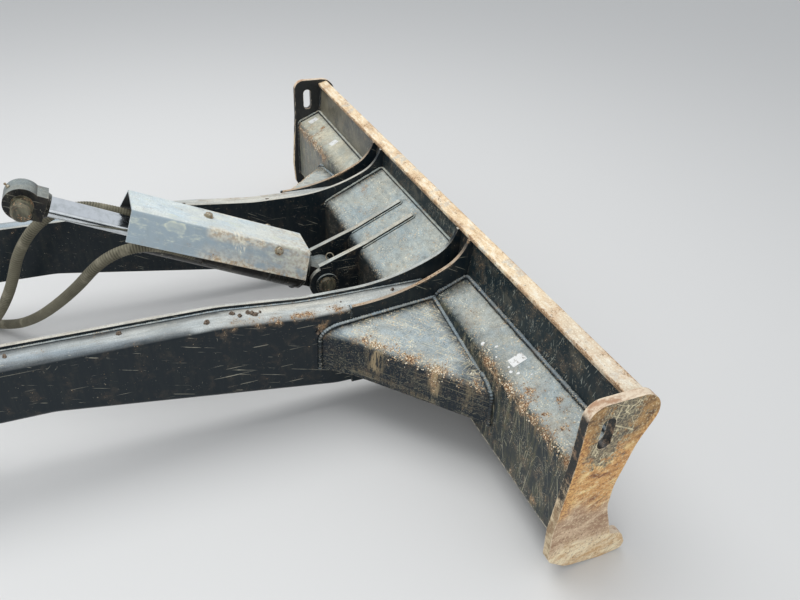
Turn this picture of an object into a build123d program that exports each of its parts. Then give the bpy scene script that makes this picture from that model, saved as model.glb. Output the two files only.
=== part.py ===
from build123d import *
import math
import os

# Dozer blade of a small crawler excavator: blade, push arms, lift cylinder, guard and hoses.
# Sizes are millimetres. X counts to the machine's right, Y forward to the blade and Z up,
# from the middle of the axis on which the two arms swing.

# Blade datum: the lower back corner of the end plates
BLADE_REACH = 1150          # arm pivot forward to the datum
BLADE_DROP = 220            # arm pivot down to the datum

# Blade
BLADE_WIDTH = 1960
END_WALL = 20
MOULD_WALL = 8
RIM_WIDTH = 36
RIM_WALL = 14
RIM_TILT = 15               # degrees
EDGE_DEPTH = 72
EDGE_WALL = 14
EDGE_WORN = 6               # height of its worn front corner
SLOT_WIDTH = 30
SLOT_LENGTH = 76

# Folded box sheets behind the blade
BOX_WALL = 8
BOX_BEND = 22
BOX_FLOOR = 34              # height of their underside above the datum

# Push arms
ARM_INSIDE = 544            # between the faces of the arms that look at each other
ARM_BEAM = 74
ARM_WALL = 10
ARM_END_RADIUS = 80
ARM_LIP = 10                # inner plate above the beam's top sheet
ARM_BEND = 16
RISER_START = -213          # along Y from the datum
GUSSET_WALL = 8
GUSSET_BEND = 40
GUSSET_FLOOR = 104          # above the datum

# Arm pivot
ARM_PIN_RADIUS = 25
ARM_PIN_FREE_RADIUS = 22.5
ARM_BOSS_RADIUS = 50
ARM_BOSS_PROUD = 12
PIN_FREE = 42               # thinner free end of a pin, for the machine's lug
PIN_STAND_OFF = 4           # thick part of a pin beyond the boss or eye
PIN_RELIEF = 2              # groove between the thick part and the free end
PIN_FIT = 0.05
PIN_CHAMFER = 4

# Lift cylinder, along its own axis from the ears' pin
EAR_PIN_BACK = 188          # ears' pin behind the datum
EAR_PIN_RISE = 158          # and above it
MACHINE_PIN_Y = 258         # upper pin, from the arm pivot
MACHINE_PIN_Z = 279
EAR_SPACING = 94            # between the middles of the two ears
EAR_WALL = 15
EAR_RADIUS = 50
EAR_PROUD = 9               # ears above the top sheet
EAR_FRONT = 74              # where the ears end, forward of the datum
EAR_FLOOR = 84
EAR_PIN_RADIUS = 25
EAR_COLLAR_RADIUS = 33
EAR_COLLAR_WALL = 6
EAR_PIN_PROUD = 8
EYE_RADIUS = 44
EYE_SIDE_GAP = 3
NECK_HEIGHT = 64
TUBE_START = 62
TUBE_END = 505
TUBE_RADIUS = 56
TUBE_WALL = 6
TUBE_CAP = 20
TUBE_CHAMFER = 4
GLAND_LENGTH = 24
GLAND_SPIGOT = 18
GLAND_RADIUS = 60
ROD_RADIUS = 25
ROD_START = 250
ROD_EYE_RADIUS = 40
ROD_EYE_WIDTH = 60
ROD_NECK = 56               # from the end of the rod to the middle of its eye
ROD_WELD = 8
MACHINE_PIN_RADIUS = 24
MACHINE_PIN_FREE_RADIUS = 22

# Bent guard over the cylinder
GUARD_START = 89
GUARD_LENGTH = 472
GUARD_TILT = 1.33           # degrees, nose down to the blade
GUARD_TOP = 115
GUARD_RISE = 83             # its top above the cylinder axis, at its start
GUARD_DROP = 68
GUARD_SPLAY = 43
GUARD_WALL = 5
GUARD_BEND = 12
BRACKET_WALL = 6
BRACKET_WIDTH = 86
BRACKET_FOOT = 34
BRACKET_SKIRT = 34          # how far its sides reach down the guard's sides
BRACKET_FRONT = 74          # from the guard's start
BRACKET_REAR = 124          # from the end of the tube back to the bracket

# Hoses, their fittings and the clip that holds the near one
HOSE_RADIUS = 14
HOSE_SIDE = 77              # hose axis beside the cylinder axis
PORT_RADIUS = 16
PORT_LEG = 32
PORT_CROWN = 4
NEAR_PORT = 105             # along the cylinder
NEAR_FIRST_RUN = 120        # straight out of the ferrule
FAR_PORT_BACK = 88          # from the end of the tube back to the far port
FAR_FIRST_RUN = 72
PORT_DROP = 3               # ports and hoses below the cylinder axis
FERRULE_RADIUS = 17.5
FERRULE_LENGTH = 53
FERRULE_CHAMFER = 3
CRIMP_GROOVE = 1.2
CRIMP_WIDTH = 6
NUT_ACROSS = 34
NUT_LENGTH = 24
NUT_BORE = 13
CLIP_WIDTH = 12
CLIP_WALL = 3
CLIP_FIT = 0.3

HALF = BLADE_WIDTH / 2
INNER_X = ARM_INSIDE / 2
OUTER_X = INNER_X + ARM_BEAM
PIVOT = (-BLADE_REACH, BLADE_DROP)
SECTION = Plane(origin=(0, BLADE_REACH, -BLADE_DROP), x_dir=(0, 1, 0), z_dir=(1, 0, 0))

EAR_PIN_Y = BLADE_REACH - EAR_PIN_BACK
EAR_PIN_Z = EAR_PIN_RISE - BLADE_DROP
LIFT_SPAN = math.hypot(MACHINE_PIN_Y - EAR_PIN_Y, MACHINE_PIN_Z - EAR_PIN_Z)
LIFT_LINE = Vector(0, MACHINE_PIN_Y - EAR_PIN_Y, MACHINE_PIN_Z - EAR_PIN_Z).normalized()
LIFT = Plane(origin=(0, EAR_PIN_Y, EAR_PIN_Z), x_dir=LIFT_LINE, z_dir=(-1, 0, 0))


def across(profile, x_low, x_high, plane=SECTION):
    """Sheet or bar with this Y-Z profile between two X planes."""
    return extrude(plane.offset(x_low) * profile, x_high - x_low)


def outline(corners):
    """Closed profile through corners given as (y, z, radius)."""
    face = make_face(Polyline([(y, z) for y, z, radius in corners], close=True))
    for y, z, radius in corners:
        if radius:
            corner = face.vertices().sort_by_distance((y, z, 0))[0]
            face = fillet(corner, radius)
    return face


def both(name, right):
    """A right-hand piece and its mirror image."""
    return {name + "_right": right, name + "_left": mirror(right, Plane.YZ)}


def ring(radius, bore, x_low, x_high, centre):
    return across(Pos(*centre) * (Circle(radius) - Circle(bore)), x_low, x_high)


def turned(points, frame=LIFT):
    """Solid turned about a frame's X axis from (along, radius) points."""
    return revolve(frame * make_face(Polyline(points, close=True)), Axis(frame.origin, frame.x_dir))


# Blade section

MOULD_TOP = (110, 405)
MOULD_KNEE = (90, 215)
MOULD_FOOT = (128, 15)
RIM_BACK = (96, 412)
BEYOND = 120                # how far cutting shapes run past the blade


def mould_back():
    """Back of the mouldboard: straight above the knee, curled forward below it."""
    upper = Line(MOULD_TOP, MOULD_KNEE)
    lower = TangentArc(MOULD_KNEE, MOULD_FOOT, tangent=upper % 1)
    return upper, lower


def front_space():
    """Everything in front of the back of the mouldboard."""
    upper, lower = mould_back()
    top = Vector(*MOULD_TOP) - (upper % 0) * BEYOND
    foot = Vector(*MOULD_FOOT) + (lower % 1) * BEYOND
    far = 8 * BEYOND
    rest = Polyline(MOULD_FOOT, foot, (far, foot.Y), (far, top.Y), top, MOULD_TOP)
    return make_face(upper + lower + rest)


def rim_frame():
    return Plane(origin=(RIM_BACK[0], RIM_BACK[1], 0)).rotated((0, 0, RIM_TILT))


def rim_profile():
    bar = rim_frame() * Pos(RIM_WIDTH / 2, -RIM_WALL / 2) * Rectangle(RIM_WIDTH, RIM_WALL)
    return fillet(bar.vertices(), RIM_WALL / 4)


def above_rim_foot():
    """Everything above the underside of the rim bar."""
    return rim_frame() * Pos(0, BEYOND - RIM_WALL) * Rectangle(8 * BEYOND, 2 * BEYOND)


def mouldboard():
    upper, lower = mould_back()
    forward = Vector(-(upper % 0).Y, (upper % 0).X) * MOULD_WALL
    curl = Vector(-(lower % 1).Y, (lower % 1).X) * MOULD_WALL
    front_knee = Vector(*MOULD_KNEE) + forward
    front_foot = Vector(*MOULD_FOOT) + curl
    front_top = Vector(*MOULD_TOP) + forward
    front = Line(front_top, front_knee) + TangentArc(front_knee, front_foot, tangent=upper % 1)
    section = make_face(upper + lower + front + Line(MOULD_FOOT, front_foot) + Line(MOULD_TOP, front_top))
    lift = (upper % 0) * -RIM_WALL * 2
    back_top = Vector(*MOULD_TOP)
    crown = make_face(Polyline(back_top, front_top, front_top + lift, back_top + lift, close=True))
    return section + crown - above_rim_foot()


def edge_profile():
    """Cutting edge: a flat bar that carries on from the foot of the mouldboard."""
    upper, lower = mould_back()
    down = lower % 1
    forward = Vector(-down.Y, down.X)
    start = Vector(*MOULD_FOOT)
    tip = start + down * EDGE_DEPTH
    front = tip + forward * EDGE_WALL
    worn = down * -EDGE_WORN
    top_front = start + forward * EDGE_WALL
    return make_face(Polyline(start, tip, (front.X, tip.Y), front + worn, top_front, close=True))


END_CORNERS = [
    # y, z, radius
    (1, 427, 35),
    (190, 427, 50),
    (133, 305, 150),
    (108, 195, 160),
    (108, 130, 120),
    (141, 29, 8),
    (172, 21, 30),
    (190, -20, 22),
    (184, -38, 10),
    (132, -43, 60),
    (40, -31, 50),
    (-8, 6, 26),
    (-14, 90, 60),
    (0, 290, 200),
]
SLOT_CENTRE = (50, 353)


def end_plate():
    slot = Pos(*SLOT_CENTRE) * SlotOverall(SLOT_LENGTH, SLOT_WIDTH, rotation=90)
    return outline(END_CORNERS) - slot


def folded_box(corners):
    """Sheet folded round the back of the blade, through outer corners (y, z, bend)."""
    shell = outline(corners)
    return shell - offset(shell, -BOX_WALL, kind=Kind.INTERSECTION) - front_space()


RUN_ON = 200                # profiles run on to here and are cut at the mouldboard
SIDE_BOX_BACK = 10
SIDE_BOX_TOP = 262          # at its back edge
SIDE_BOX_SLOPE = 0.426
SIDE_BOX = [
    # y, z, bend
    (RUN_ON, SIDE_BOX_TOP + SIDE_BOX_SLOPE * (RUN_ON - SIDE_BOX_BACK), 0),
    (SIDE_BOX_BACK, SIDE_BOX_TOP, BOX_BEND),
    (SIDE_BOX_BACK, BOX_FLOOR, BOX_BEND),
    (RUN_ON, BOX_FLOOR, 0),
]
CENTRE_BACK = -92
CENTRE_TOP = 248            # at its back edge
CENTRE_SLOPE = 0.482
CENTRE_BOX = [
    # y, z, bend
    (RUN_ON, CENTRE_TOP + CENTRE_SLOPE * (RUN_ON - CENTRE_BACK), 0),
    (CENTRE_BACK, CENTRE_TOP, BOX_BEND),
    (CENTRE_BACK, BOX_FLOOR, BOX_BEND),
    (RUN_ON, BOX_FLOOR, 0),
]


# Arm section

ARM_TOP = PIVOT[1] + ARM_END_RADIUS
SAG_START = -520            # where the arm's top begins to dip
SAG_END = -320
SAG_DEPTH = 20
SAG_BEND = 500
DEEP_START = -250           # where the arm reaches its full depth
SHALLOW_END = -900
SWEEP_MIDDLE = (38, 335)
SWEEP_TOP = (94, 402)
INNER_SWEEP = (-200, ARM_TOP - SAG_DEPTH)
RISER_SWEEP = (RISER_START, ARM_TOP - SAG_DEPTH - 8)


def sweep_up(start, middle, back, floor):
    """Plate that curves up to the rim: its face below the sweep and above the floor."""
    first = TangentArc(start, middle, tangent=(1, 0))
    second = TangentArc(middle, SWEEP_TOP, tangent=first % 1)
    corners = [SWEEP_TOP, (140, SWEEP_TOP[1] + 8), (140, floor), (back, floor)]
    if back < start[0]:
        corners.append((back, start[1]))
    rest = Polyline(*corners, start)
    return make_face(first + second + rest) - front_space() - rim_profile()


def beam_region(top):
    """Beam of the arm as seen from its side, from the round end to the blade."""
    body = outline([
        (PIVOT[0], top, 0),
        (SAG_START, top, SAG_BEND),
        (SAG_END, top - SAG_DEPTH, SAG_BEND),
        (200, top - SAG_DEPTH, 0),
        (200, BOX_FLOOR, 0),
        (DEEP_START, BOX_FLOOR, 200),
        (SHALLOW_END, PIVOT[1] - ARM_END_RADIUS, 200),
        (PIVOT[0], PIVOT[1] - ARM_END_RADIUS, 0),
    ])
    radius = (top - PIVOT[1] + ARM_END_RADIUS) / 2
    end = Pos(PIVOT[0], PIVOT[1] - ARM_END_RADIUS + radius) * Circle(radius)
    return body + end - front_space()


def behind(y):
    return Pos(y - BLADE_REACH, 0) * Rectangle(2 * BLADE_REACH, 2 * BLADE_REACH)


def inner_plate():
    hole = Pos(*PIVOT) * Circle(ARM_BOSS_RADIUS)
    profile = beam_region(ARM_TOP) + sweep_up(INNER_SWEEP, SWEEP_MIDDLE, SAG_END + 60, BOX_FLOOR)
    return across(profile - hole, INNER_X, INNER_X + ARM_WALL)


def riser_plate():
    profile = sweep_up(RISER_SWEEP, SWEEP_MIDDLE, RISER_START, BOX_FLOOR)
    return across(profile, OUTER_X - ARM_WALL, OUTER_X)


def arm_channel():
    region = beam_region(ARM_TOP - ARM_LIP)
    hollow = offset(region, -ARM_WALL, kind=Kind.INTERSECTION)
    beam = across(region & behind(RISER_START), INNER_X + ARM_WALL, OUTER_X)
    outer_edges = beam.edges().filter_by(lambda e: abs(e.center().X - OUTER_X) < 0.01)
    riser_y = BLADE_REACH + RISER_START - 1
    crown = outer_edges.filter_by(lambda e: (e @ 0.5).Z > ARM_BEND and (e @ 0.5).Y < riser_y)
    beam = fillet(crown, ARM_BEND)
    # open underneath, where the floor sheet closes it
    floor_gap = make_face(Polyline(
        (PIVOT[0] + ARM_END_RADIUS, -BEYOND),
        (PIVOT[0] + ARM_END_RADIUS, PIVOT[1]),
        (RISER_START + ARM_WALL, PIVOT[1]),
        (RISER_START + ARM_WALL, -BEYOND),
        close=True))
    inside = across(hollow + floor_gap, INNER_X, OUTER_X - ARM_WALL)
    hole = across(Pos(*PIVOT) * Circle(ARM_BOSS_RADIUS), INNER_X, OUTER_X)
    # the top sheet runs on between the inner plate and the riser
    above_pivot = Pos(RISER_START + 4 * BEYOND, PIVOT[1] + BEYOND) * Rectangle(8 * BEYOND, 2 * BEYOND)
    strip = (region - hollow) & above_pivot
    tongue = across(strip - front_space(), INNER_X + ARM_WALL, OUTER_X - ARM_WALL)
    return beam - inside - hole + tongue


def arm_floor():
    region = beam_region(ARM_TOP - ARM_LIP)
    strip = region - offset(region, -ARM_WALL, kind=Kind.INTERSECTION)
    inside_box = SIDE_BOX_BACK + 50
    low = make_face(Polyline(
        (PIVOT[0] + ARM_END_RADIUS, -BEYOND),
        (PIVOT[0] + ARM_END_RADIUS, PIVOT[1] - 2 * ARM_WALL),
        (RISER_START, BOX_FLOOR + 6 * ARM_WALL),
        (inside_box, BOX_FLOOR + 6 * ARM_WALL),
        (inside_box, -BEYOND),
        close=True))
    return across(strip & low, INNER_X + ARM_WALL, OUTER_X - ARM_WALL)


def arm_boss():
    start = INNER_X - ARM_BOSS_PROUD
    end = OUTER_X + ARM_BOSS_PROUD
    return ring(ARM_BOSS_RADIUS, ARM_PIN_RADIUS + PIN_FIT, start, end, PIVOT)


def round_pin(radius, x_low, x_high, centre):
    """Plain pin along X with chamfered ends."""
    pin = across(Pos(*centre) * Circle(radius), x_low, x_high)
    return chamfer(pin.edges().filter_by(GeomType.CIRCLE), PIN_CHAMFER)


def stepped_pin(radius, free_radius, x_low, x_high, y, z):
    """Pin along X, thick between two X planes, with a thinner free end beyond each."""
    neck = free_radius - 1
    right = [
        (x_high + PIN_STAND_OFF, radius),
        (x_high + PIN_STAND_OFF, neck),
        (x_high + PIN_STAND_OFF + PIN_RELIEF, neck),
        (x_high + PIN_STAND_OFF + PIN_RELIEF, free_radius),
        (x_high + PIN_STAND_OFF + PIN_FREE - PIN_CHAMFER, free_radius),
        (x_high + PIN_STAND_OFF + PIN_FREE, free_radius - PIN_CHAMFER),
        (x_high + PIN_STAND_OFF + PIN_FREE, 0),
    ]
    left = [(x_low + x_high - x, r) for x, r in reversed(right)]
    centre_line = Plane(origin=(0, y, z), x_dir=(1, 0, 0), z_dir=(0, -1, 0))
    return turned(left + right, centre_line)


def arm_pin():
    start = INNER_X - ARM_BOSS_PROUD
    end = OUTER_X + ARM_BOSS_PROUD
    return stepped_pin(ARM_PIN_RADIUS, ARM_PIN_FREE_RADIUS, start, end, 0, 0)


# Gusset between arm and blade, in plan: X from the machine's middle, Y from the datum

GUSSET_START = -296         # at the arm
GUSSET_FIRST_X = 56         # short first fold, out from the arm
GUSSET_FIRST_Y = 70
GUSSET_REACH = 326          # along the box, out from the arm
GUSSET_TOP = 250            # at the arm, on the back of the box
GUSSET_FALL_OUT = 0.133
GUSSET_FALL_BACK = 0.0925


def gusset_block(inset):
    """Solid under the gusset's skin, drawn in by the inset on its folded sides."""
    tip = Vector(OUTER_X, GUSSET_START)
    knee = tip + Vector(GUSSET_FIRST_X, GUSSET_FIRST_Y)
    outer = Vector(OUTER_X + GUSSET_REACH, SIDE_BOX_BACK)
    corner = Vector(OUTER_X, SIDE_BOX_BACK)
    points = [tip, knee, outer, corner]
    if inset:
        # the hollow runs out past the open ends, so that they stay open
        run_out = GUSSET_BEND * 1.5
        first = (knee - tip).normalized()
        second = (outer - knee).normalized()
        in_first = Vector(-first.Y, first.X) * inset
        in_second = Vector(-second.Y, second.X) * inset
        half_turn = math.radians(first.get_angle(second)) / 2
        mitre = (in_first + in_second).normalized() * (inset / math.cos(half_turn))
        start = tip + in_first - first * run_out
        end = outer + in_second + second * run_out
        inner_x = OUTER_X - run_out
        points = [start, knee + mitre, end, Vector(end.X, corner.Y + run_out),
                  Vector(inner_x, corner.Y + run_out), Vector(inner_x, start.Y)]
    plan = Pos(0, BLADE_REACH) * make_face(Polyline(points, close=True))
    floor = GUSSET_FLOOR - BLADE_DROP - (GUSSET_BEND if inset else 0)
    block = extrude(Plane.XY.offset(floor) * plan, 2 * GUSSET_TOP)
    normal = Vector(GUSSET_FALL_OUT, -GUSSET_FALL_BACK, 1).normalized()
    roof = Plane(origin=(OUTER_X, BLADE_REACH, GUSSET_TOP - BLADE_DROP), z_dir=normal)
    block = split(block, roof.offset(-inset), keep=Keep.BOTTOM)
    top = block.faces().sort_by(Axis.Z)[-1]
    folds = [e for e in top.edges() if abs((e % 0.5).X) > 0.2 and abs((e % 0.5).Y) > 0.2]
    return fillet(folds, GUSSET_BEND - inset)


def gusset():
    return gusset_block(0) - gusset_block(GUSSET_WALL)


# Ears

EAR_PIN_PLACE = (-EAR_PIN_BACK, EAR_PIN_RISE)


def ear_plate():
    pin_y, pin_z = EAR_PIN_PLACE
    back = CENTRE_BACK + BOX_BEND
    top_back = CENTRE_TOP + CENTRE_SLOPE * (back - CENTRE_BACK) + EAR_PROUD
    top_front = CENTRE_TOP + CENTRE_SLOPE * (EAR_FRONT - CENTRE_BACK) + EAR_PROUD
    profile = outline([
        (EAR_FRONT, top_front, 4),
        (back, top_back, 30),
        (pin_y - 20, pin_z + EAR_RADIUS + 8, 0),
        (pin_y, pin_z, 0),
        (pin_y + 16, pin_z - EAR_RADIUS, 0),
        (back, EAR_FLOOR, 0),
        (EAR_FRONT - 34, EAR_FLOOR, 0),
        (EAR_FRONT, CENTRE_TOP - 48, 0),
    ])
    profile += Pos(*EAR_PIN_PLACE) * Circle(EAR_RADIUS)
    profile -= Pos(*EAR_PIN_PLACE) * Circle(EAR_PIN_RADIUS + PIN_FIT)
    profile = profile - outline(CENTRE_BOX) - front_space()
    middle = EAR_SPACING / 2
    return across(profile, middle - EAR_WALL / 2, middle + EAR_WALL / 2)


def ear_collar():
    start = (EAR_SPACING + EAR_WALL) / 2
    return ring(EAR_COLLAR_RADIUS, EAR_PIN_RADIUS + PIN_FIT, start, start + EAR_COLLAR_WALL, EAR_PIN_PLACE)


def ear_pin():
    reach = (EAR_SPACING + EAR_WALL) / 2 + EAR_COLLAR_WALL + EAR_PIN_PROUD
    return round_pin(EAR_PIN_RADIUS, -reach, reach, EAR_PIN_PLACE)


# Lift cylinder

def eye(radius, width, bore, neck_end, at=0):
    """Eye across the cylinder's axis with a square neck to neck_end."""
    reach = abs(neck_end - at)
    middle = (neck_end + at) / 2
    body = Pos(at, 0) * Circle(radius) + Pos(middle, 0) * Rectangle(reach, NECK_HEIGHT)
    profile = body - Pos(at, 0) * Circle(bore)
    return across(profile, -width / 2, width / 2, LIFT)


def cylinder_eye():
    width = EAR_SPACING - EAR_WALL - 2 * EYE_SIDE_GAP
    return eye(EYE_RADIUS, width, EAR_PIN_RADIUS + PIN_FIT, TUBE_START)


def tube():
    inside = TUBE_RADIUS - TUBE_WALL
    return turned([
        (TUBE_START, 0),
        (TUBE_START, TUBE_RADIUS - TUBE_CHAMFER),
        (TUBE_START + TUBE_CHAMFER, TUBE_RADIUS),
        (TUBE_END, TUBE_RADIUS),
        (TUBE_END, inside),
        (TUBE_START + TUBE_CAP, inside),
        (TUBE_START + TUBE_CAP, 0),
    ])


def tube_space():
    """Room that the tube takes, for pieces that sit on it."""
    return turned([(0, 0), (0, TUBE_RADIUS), (TUBE_END, TUBE_RADIUS), (TUBE_END, 0)])


def gland():
    bore = ROD_RADIUS + PIN_FIT
    spigot = TUBE_RADIUS - TUBE_WALL
    end = TUBE_END + GLAND_LENGTH
    return turned([
        (TUBE_END - GLAND_SPIGOT, bore),
        (TUBE_END - GLAND_SPIGOT, spigot),
        (TUBE_END, spigot),
        (TUBE_END, GLAND_RADIUS),
        (end - TUBE_CHAMFER, GLAND_RADIUS),
        (end, GLAND_RADIUS - TUBE_CHAMFER),
        (end, bore),
    ])


ROD_END = LIFT_SPAN - ROD_NECK


def rod():
    return turned([(ROD_START, 0), (ROD_START, ROD_RADIUS), (ROD_END, ROD_RADIUS), (ROD_END, 0)])


def rod_eye():
    weld_end = ROD_END + ROD_WELD
    ring_part = eye(ROD_EYE_RADIUS, ROD_EYE_WIDTH, MACHINE_PIN_RADIUS + PIN_FIT, weld_end, LIFT_SPAN)
    collar = turned([(ROD_END, 0), (ROD_END, ROD_RADIUS + 3), (weld_end, ROD_RADIUS + 7), (weld_end, 0)])
    return ring_part + collar


def machine_pin():
    half = ROD_EYE_WIDTH / 2
    return stepped_pin(MACHINE_PIN_RADIUS, MACHINE_PIN_FREE_RADIUS, -half, half, MACHINE_PIN_Y, MACHINE_PIN_Z)


# Guard over the cylinder

GUARD = Plane(LIFT.location * Location((GUARD_START, 0, 0), (0, 0, -GUARD_TILT)))


def guard_band(outer, inner):
    """Bent strip between two depths under the guard's outer face, in its section."""
    top = GUARD_TOP / 2
    low = GUARD_RISE - GUARD_DROP
    wide = top + GUARD_SPLAY
    corners = [(-wide, low), (-top, GUARD_RISE), (top, GUARD_RISE), (wide, low)]
    path = FilletPolyline(*corners, radius=GUARD_BEND)
    band = make_face(offset(path, inner, side=Side.RIGHT))
    if outer:
        band -= make_face(offset(path, outer, side=Side.RIGHT))
    return band


def guard_section(start):
    """Plane across the guard: X to the machine's right, Y away from the cylinder."""
    return Plane(origin=GUARD.origin + GUARD.x_dir * start, x_dir=(1, 0, 0), z_dir=GUARD.x_dir)


def guard():
    return extrude(guard_section(0) * guard_band(0, GUARD_WALL), GUARD_LENGTH)


def bracket(start):
    """Bent saddle under the guard on a web that stands on the tube."""
    saddle = guard_band(GUARD_WALL, GUARD_WALL + BRACKET_WALL)
    saddle &= Pos(0, GUARD_RISE) * Rectangle(4 * GUARD_TOP, 2 * BRACKET_SKIRT)
    under = GUARD_RISE - GUARD_WALL - BRACKET_WALL / 2
    web = Pos(0, under / 2) * Rectangle(BRACKET_WIDTH, under)
    section = guard_section(start)
    shape = extrude(section * saddle, BRACKET_FOOT) + extrude(section * web, BRACKET_WALL)
    return shape - tube_space()


# Hoses

# Middle line of each hose after its first straight run
NEAR_BESIDE = [
    # along the cylinder, rise above its axis, side
    (415.0, 3.4, 76),
    (488.4, 3.5, 78),
    (552.3, -27.5, 73),
]
NEAR_ROUTE = [
    # X, Y from the ears' pin, Z
    (65, -573, 123),
    (34, -641, 42),
    (-69, -726, -71),
    (-171, -790, -157),
    (-262, -853, -222),
    (-329, -924, -249),
    (-385, -1032, -245),
]
FAR_ROUTE = [
    (-104, -599, 202),
    (-111, -691, 176),
    (-121, -765, 90),
    (-142, -809, -25),
    (-178, -869, -130),
    (-234, -936, -212),
    (-300, -1024, -249),
    (-335, -1134, -245),
]


def lift_point(along, rise, side):
    """Point beside the cylinder, side counted to the machine's right."""
    return LIFT.origin + LIFT.x_dir * along + LIFT.y_dir * rise + Vector(side, 0, 0)


def line_from(start, direction):
    """Frame with X along a direction, for turned pieces."""
    return Plane(origin=start, x_dir=direction, z_dir=direction.cross(Vector(0, 0, 1)))


def port(along, side):
    """Elbow on the side of the tube that turns toward the rod's end."""
    reach = math.copysign(HOSE_SIDE + PORT_RADIUS - PORT_CROWN, side)
    block = extrude(LIFT * Pos(along, -PORT_DROP) * Circle(PORT_RADIUS), -reach)
    block = chamfer(block.edges().sort_by(Axis.X)[-1 if side > 0 else 0], PORT_CROWN)
    leg_radius = PORT_RADIUS - 1
    leg = turned([(0, 0), (0, leg_radius), (PORT_LEG, leg_radius), (PORT_LEG, 0)],
                 line_from(lift_point(along, -PORT_DROP, side), LIFT.x_dir))
    return block + leg - tube_space()


def ferrule(start, direction):
    """Crimped sleeve with three grooves, its first end at start."""
    low = FERRULE_RADIUS - CRIMP_GROOVE
    points = [(0, 0), (0, HOSE_RADIUS), (FERRULE_CHAMFER, FERRULE_RADIUS)]
    pitch = (FERRULE_LENGTH - 2 * FERRULE_CHAMFER) / 4
    for groove in (1, 2, 3):
        middle = FERRULE_CHAMFER + groove * pitch
        points += [
            (middle - CRIMP_WIDTH / 2, FERRULE_RADIUS),
            (middle - CRIMP_WIDTH / 3, low),
            (middle + CRIMP_WIDTH / 3, low),
            (middle + CRIMP_WIDTH / 2, FERRULE_RADIUS),
        ]
    points += [
        (FERRULE_LENGTH - FERRULE_CHAMFER, FERRULE_RADIUS),
        (FERRULE_LENGTH, HOSE_RADIUS),
        (FERRULE_LENGTH, 0),
    ]
    return turned(points, line_from(start, direction))


def end_fitting(start, direction):
    """Ferrule and swivel nut on the free end of a hose."""
    frame = line_from(start, direction)
    nut_start = start + direction * FERRULE_LENGTH
    nut_plane = Plane(origin=nut_start, x_dir=frame.y_dir, z_dir=direction)
    corner_radius = NUT_ACROSS / 2 / math.cos(math.pi / 6)
    nut = extrude(nut_plane * RegularPolygon(corner_radius, 6, rotation=30), NUT_LENGTH)
    deep = FERRULE_LENGTH + NUT_LENGTH / 2
    open_end = FERRULE_LENGTH + NUT_LENGTH
    mouth = turned([(deep, 0), (deep, NUT_BORE - 2), (open_end, NUT_BORE), (open_end, 0)], frame)
    return ferrule(start, direction) + nut - mouth


def hose_path(route):
    """Straight runs joined by arcs as large as the two runs beside them allow."""
    radii = []
    for before, corner, after in zip(route, route[1:], route[2:]):
        run_in = corner - before
        run_out = after - corner
        half_turn = math.radians(run_in.get_angle(run_out)) / 2
        radii.append(0.45 * min(run_in.length, run_out.length) / math.tan(half_turn))
    print("hose bends", [round(radius) for radius in radii])
    return FilletPolyline(*route, radius=radii)


def hose(route):
    path = hose_path(route)
    tube = sweep(Plane(origin=path @ 0, z_dir=path % 0) * Circle(HOSE_RADIUS), path=path)
    section = math.pi * HOSE_RADIUS ** 2
    print("hose length", round(path.length), "volume over section", round(tube.volume / section))
    return tube


def clip(route):
    """Strap round a hose, halfway along its second run, with a foot on the tube."""
    direction = (route[2] - route[1]).normalized()
    frame = line_from((route[1] + route[2] - direction * CLIP_WIDTH) / 2, direction)
    inside = HOSE_RADIUS + CLIP_FIT
    outside = inside + CLIP_WALL
    strap = turned([(0, 0), (0, outside), (CLIP_WIDTH, outside), (CLIP_WIDTH, 0)], frame)
    core = turned([(0, 0), (0, inside), (CLIP_WIDTH, inside), (CLIP_WIDTH, 0)], frame)
    foot_reach = HOSE_SIDE - TUBE_RADIUS + TUBE_WALL
    foot_middle = frame.origin + direction * (CLIP_WIDTH / 2) + frame.z_dir * (foot_reach / 2)
    foot_frame = Plane(origin=foot_middle, x_dir=frame.x_dir, z_dir=frame.z_dir)
    foot = foot_frame * Box(CLIP_WIDTH, HOSE_RADIUS, foot_reach)
    return strap + foot - core - tube_space()


def hose_nodes():
    """Both hoses with their ports, ferrules, end fittings and the near one's clip."""
    sides = [
        # name, port along the cylinder, side, first run, points beside the cylinder, rest of the route
        ("near", NEAR_PORT, HOSE_SIDE, NEAR_FIRST_RUN, NEAR_BESIDE, NEAR_ROUTE),
        ("far", TUBE_END - FAR_PORT_BACK, -HOSE_SIDE, FAR_FIRST_RUN, [], FAR_ROUTE),
    ]
    nodes = {}
    for name, along, side, first_run, beside, points in sides:
        port_end = lift_point(along + PORT_LEG, -PORT_DROP, side)
        start = port_end + LIFT.x_dir * FERRULE_LENGTH
        route = [start, start + LIFT.x_dir * first_run]
        route += [lift_point(*point) for point in beside]
        route += [Vector(x, EAR_PIN_Y + y, z) for x, y, z in points]
        nodes["port_" + name] = port(along, side)
        nodes["hose_ferrule_" + name] = ferrule(port_end, LIFT.x_dir)
        nodes["hose_" + name] = hose(route)
        nodes["hose_fitting_" + name] = end_fitting(route[-1], (route[-1] - route[-2]).normalized())
        print(name, [tuple(round(value, 1) for value in point) for point in route])
        if name == "near":
            nodes["hose_clip"] = clip(route)
    return nodes


def write(name, shape):
    shape = Part() + shape
    export_step(shape, os.path.join("parts", name + ".step"))
    print(name, len(shape.solids()), round(shape.volume / 1e3, 1), "cm3", shape.is_valid)


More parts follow.
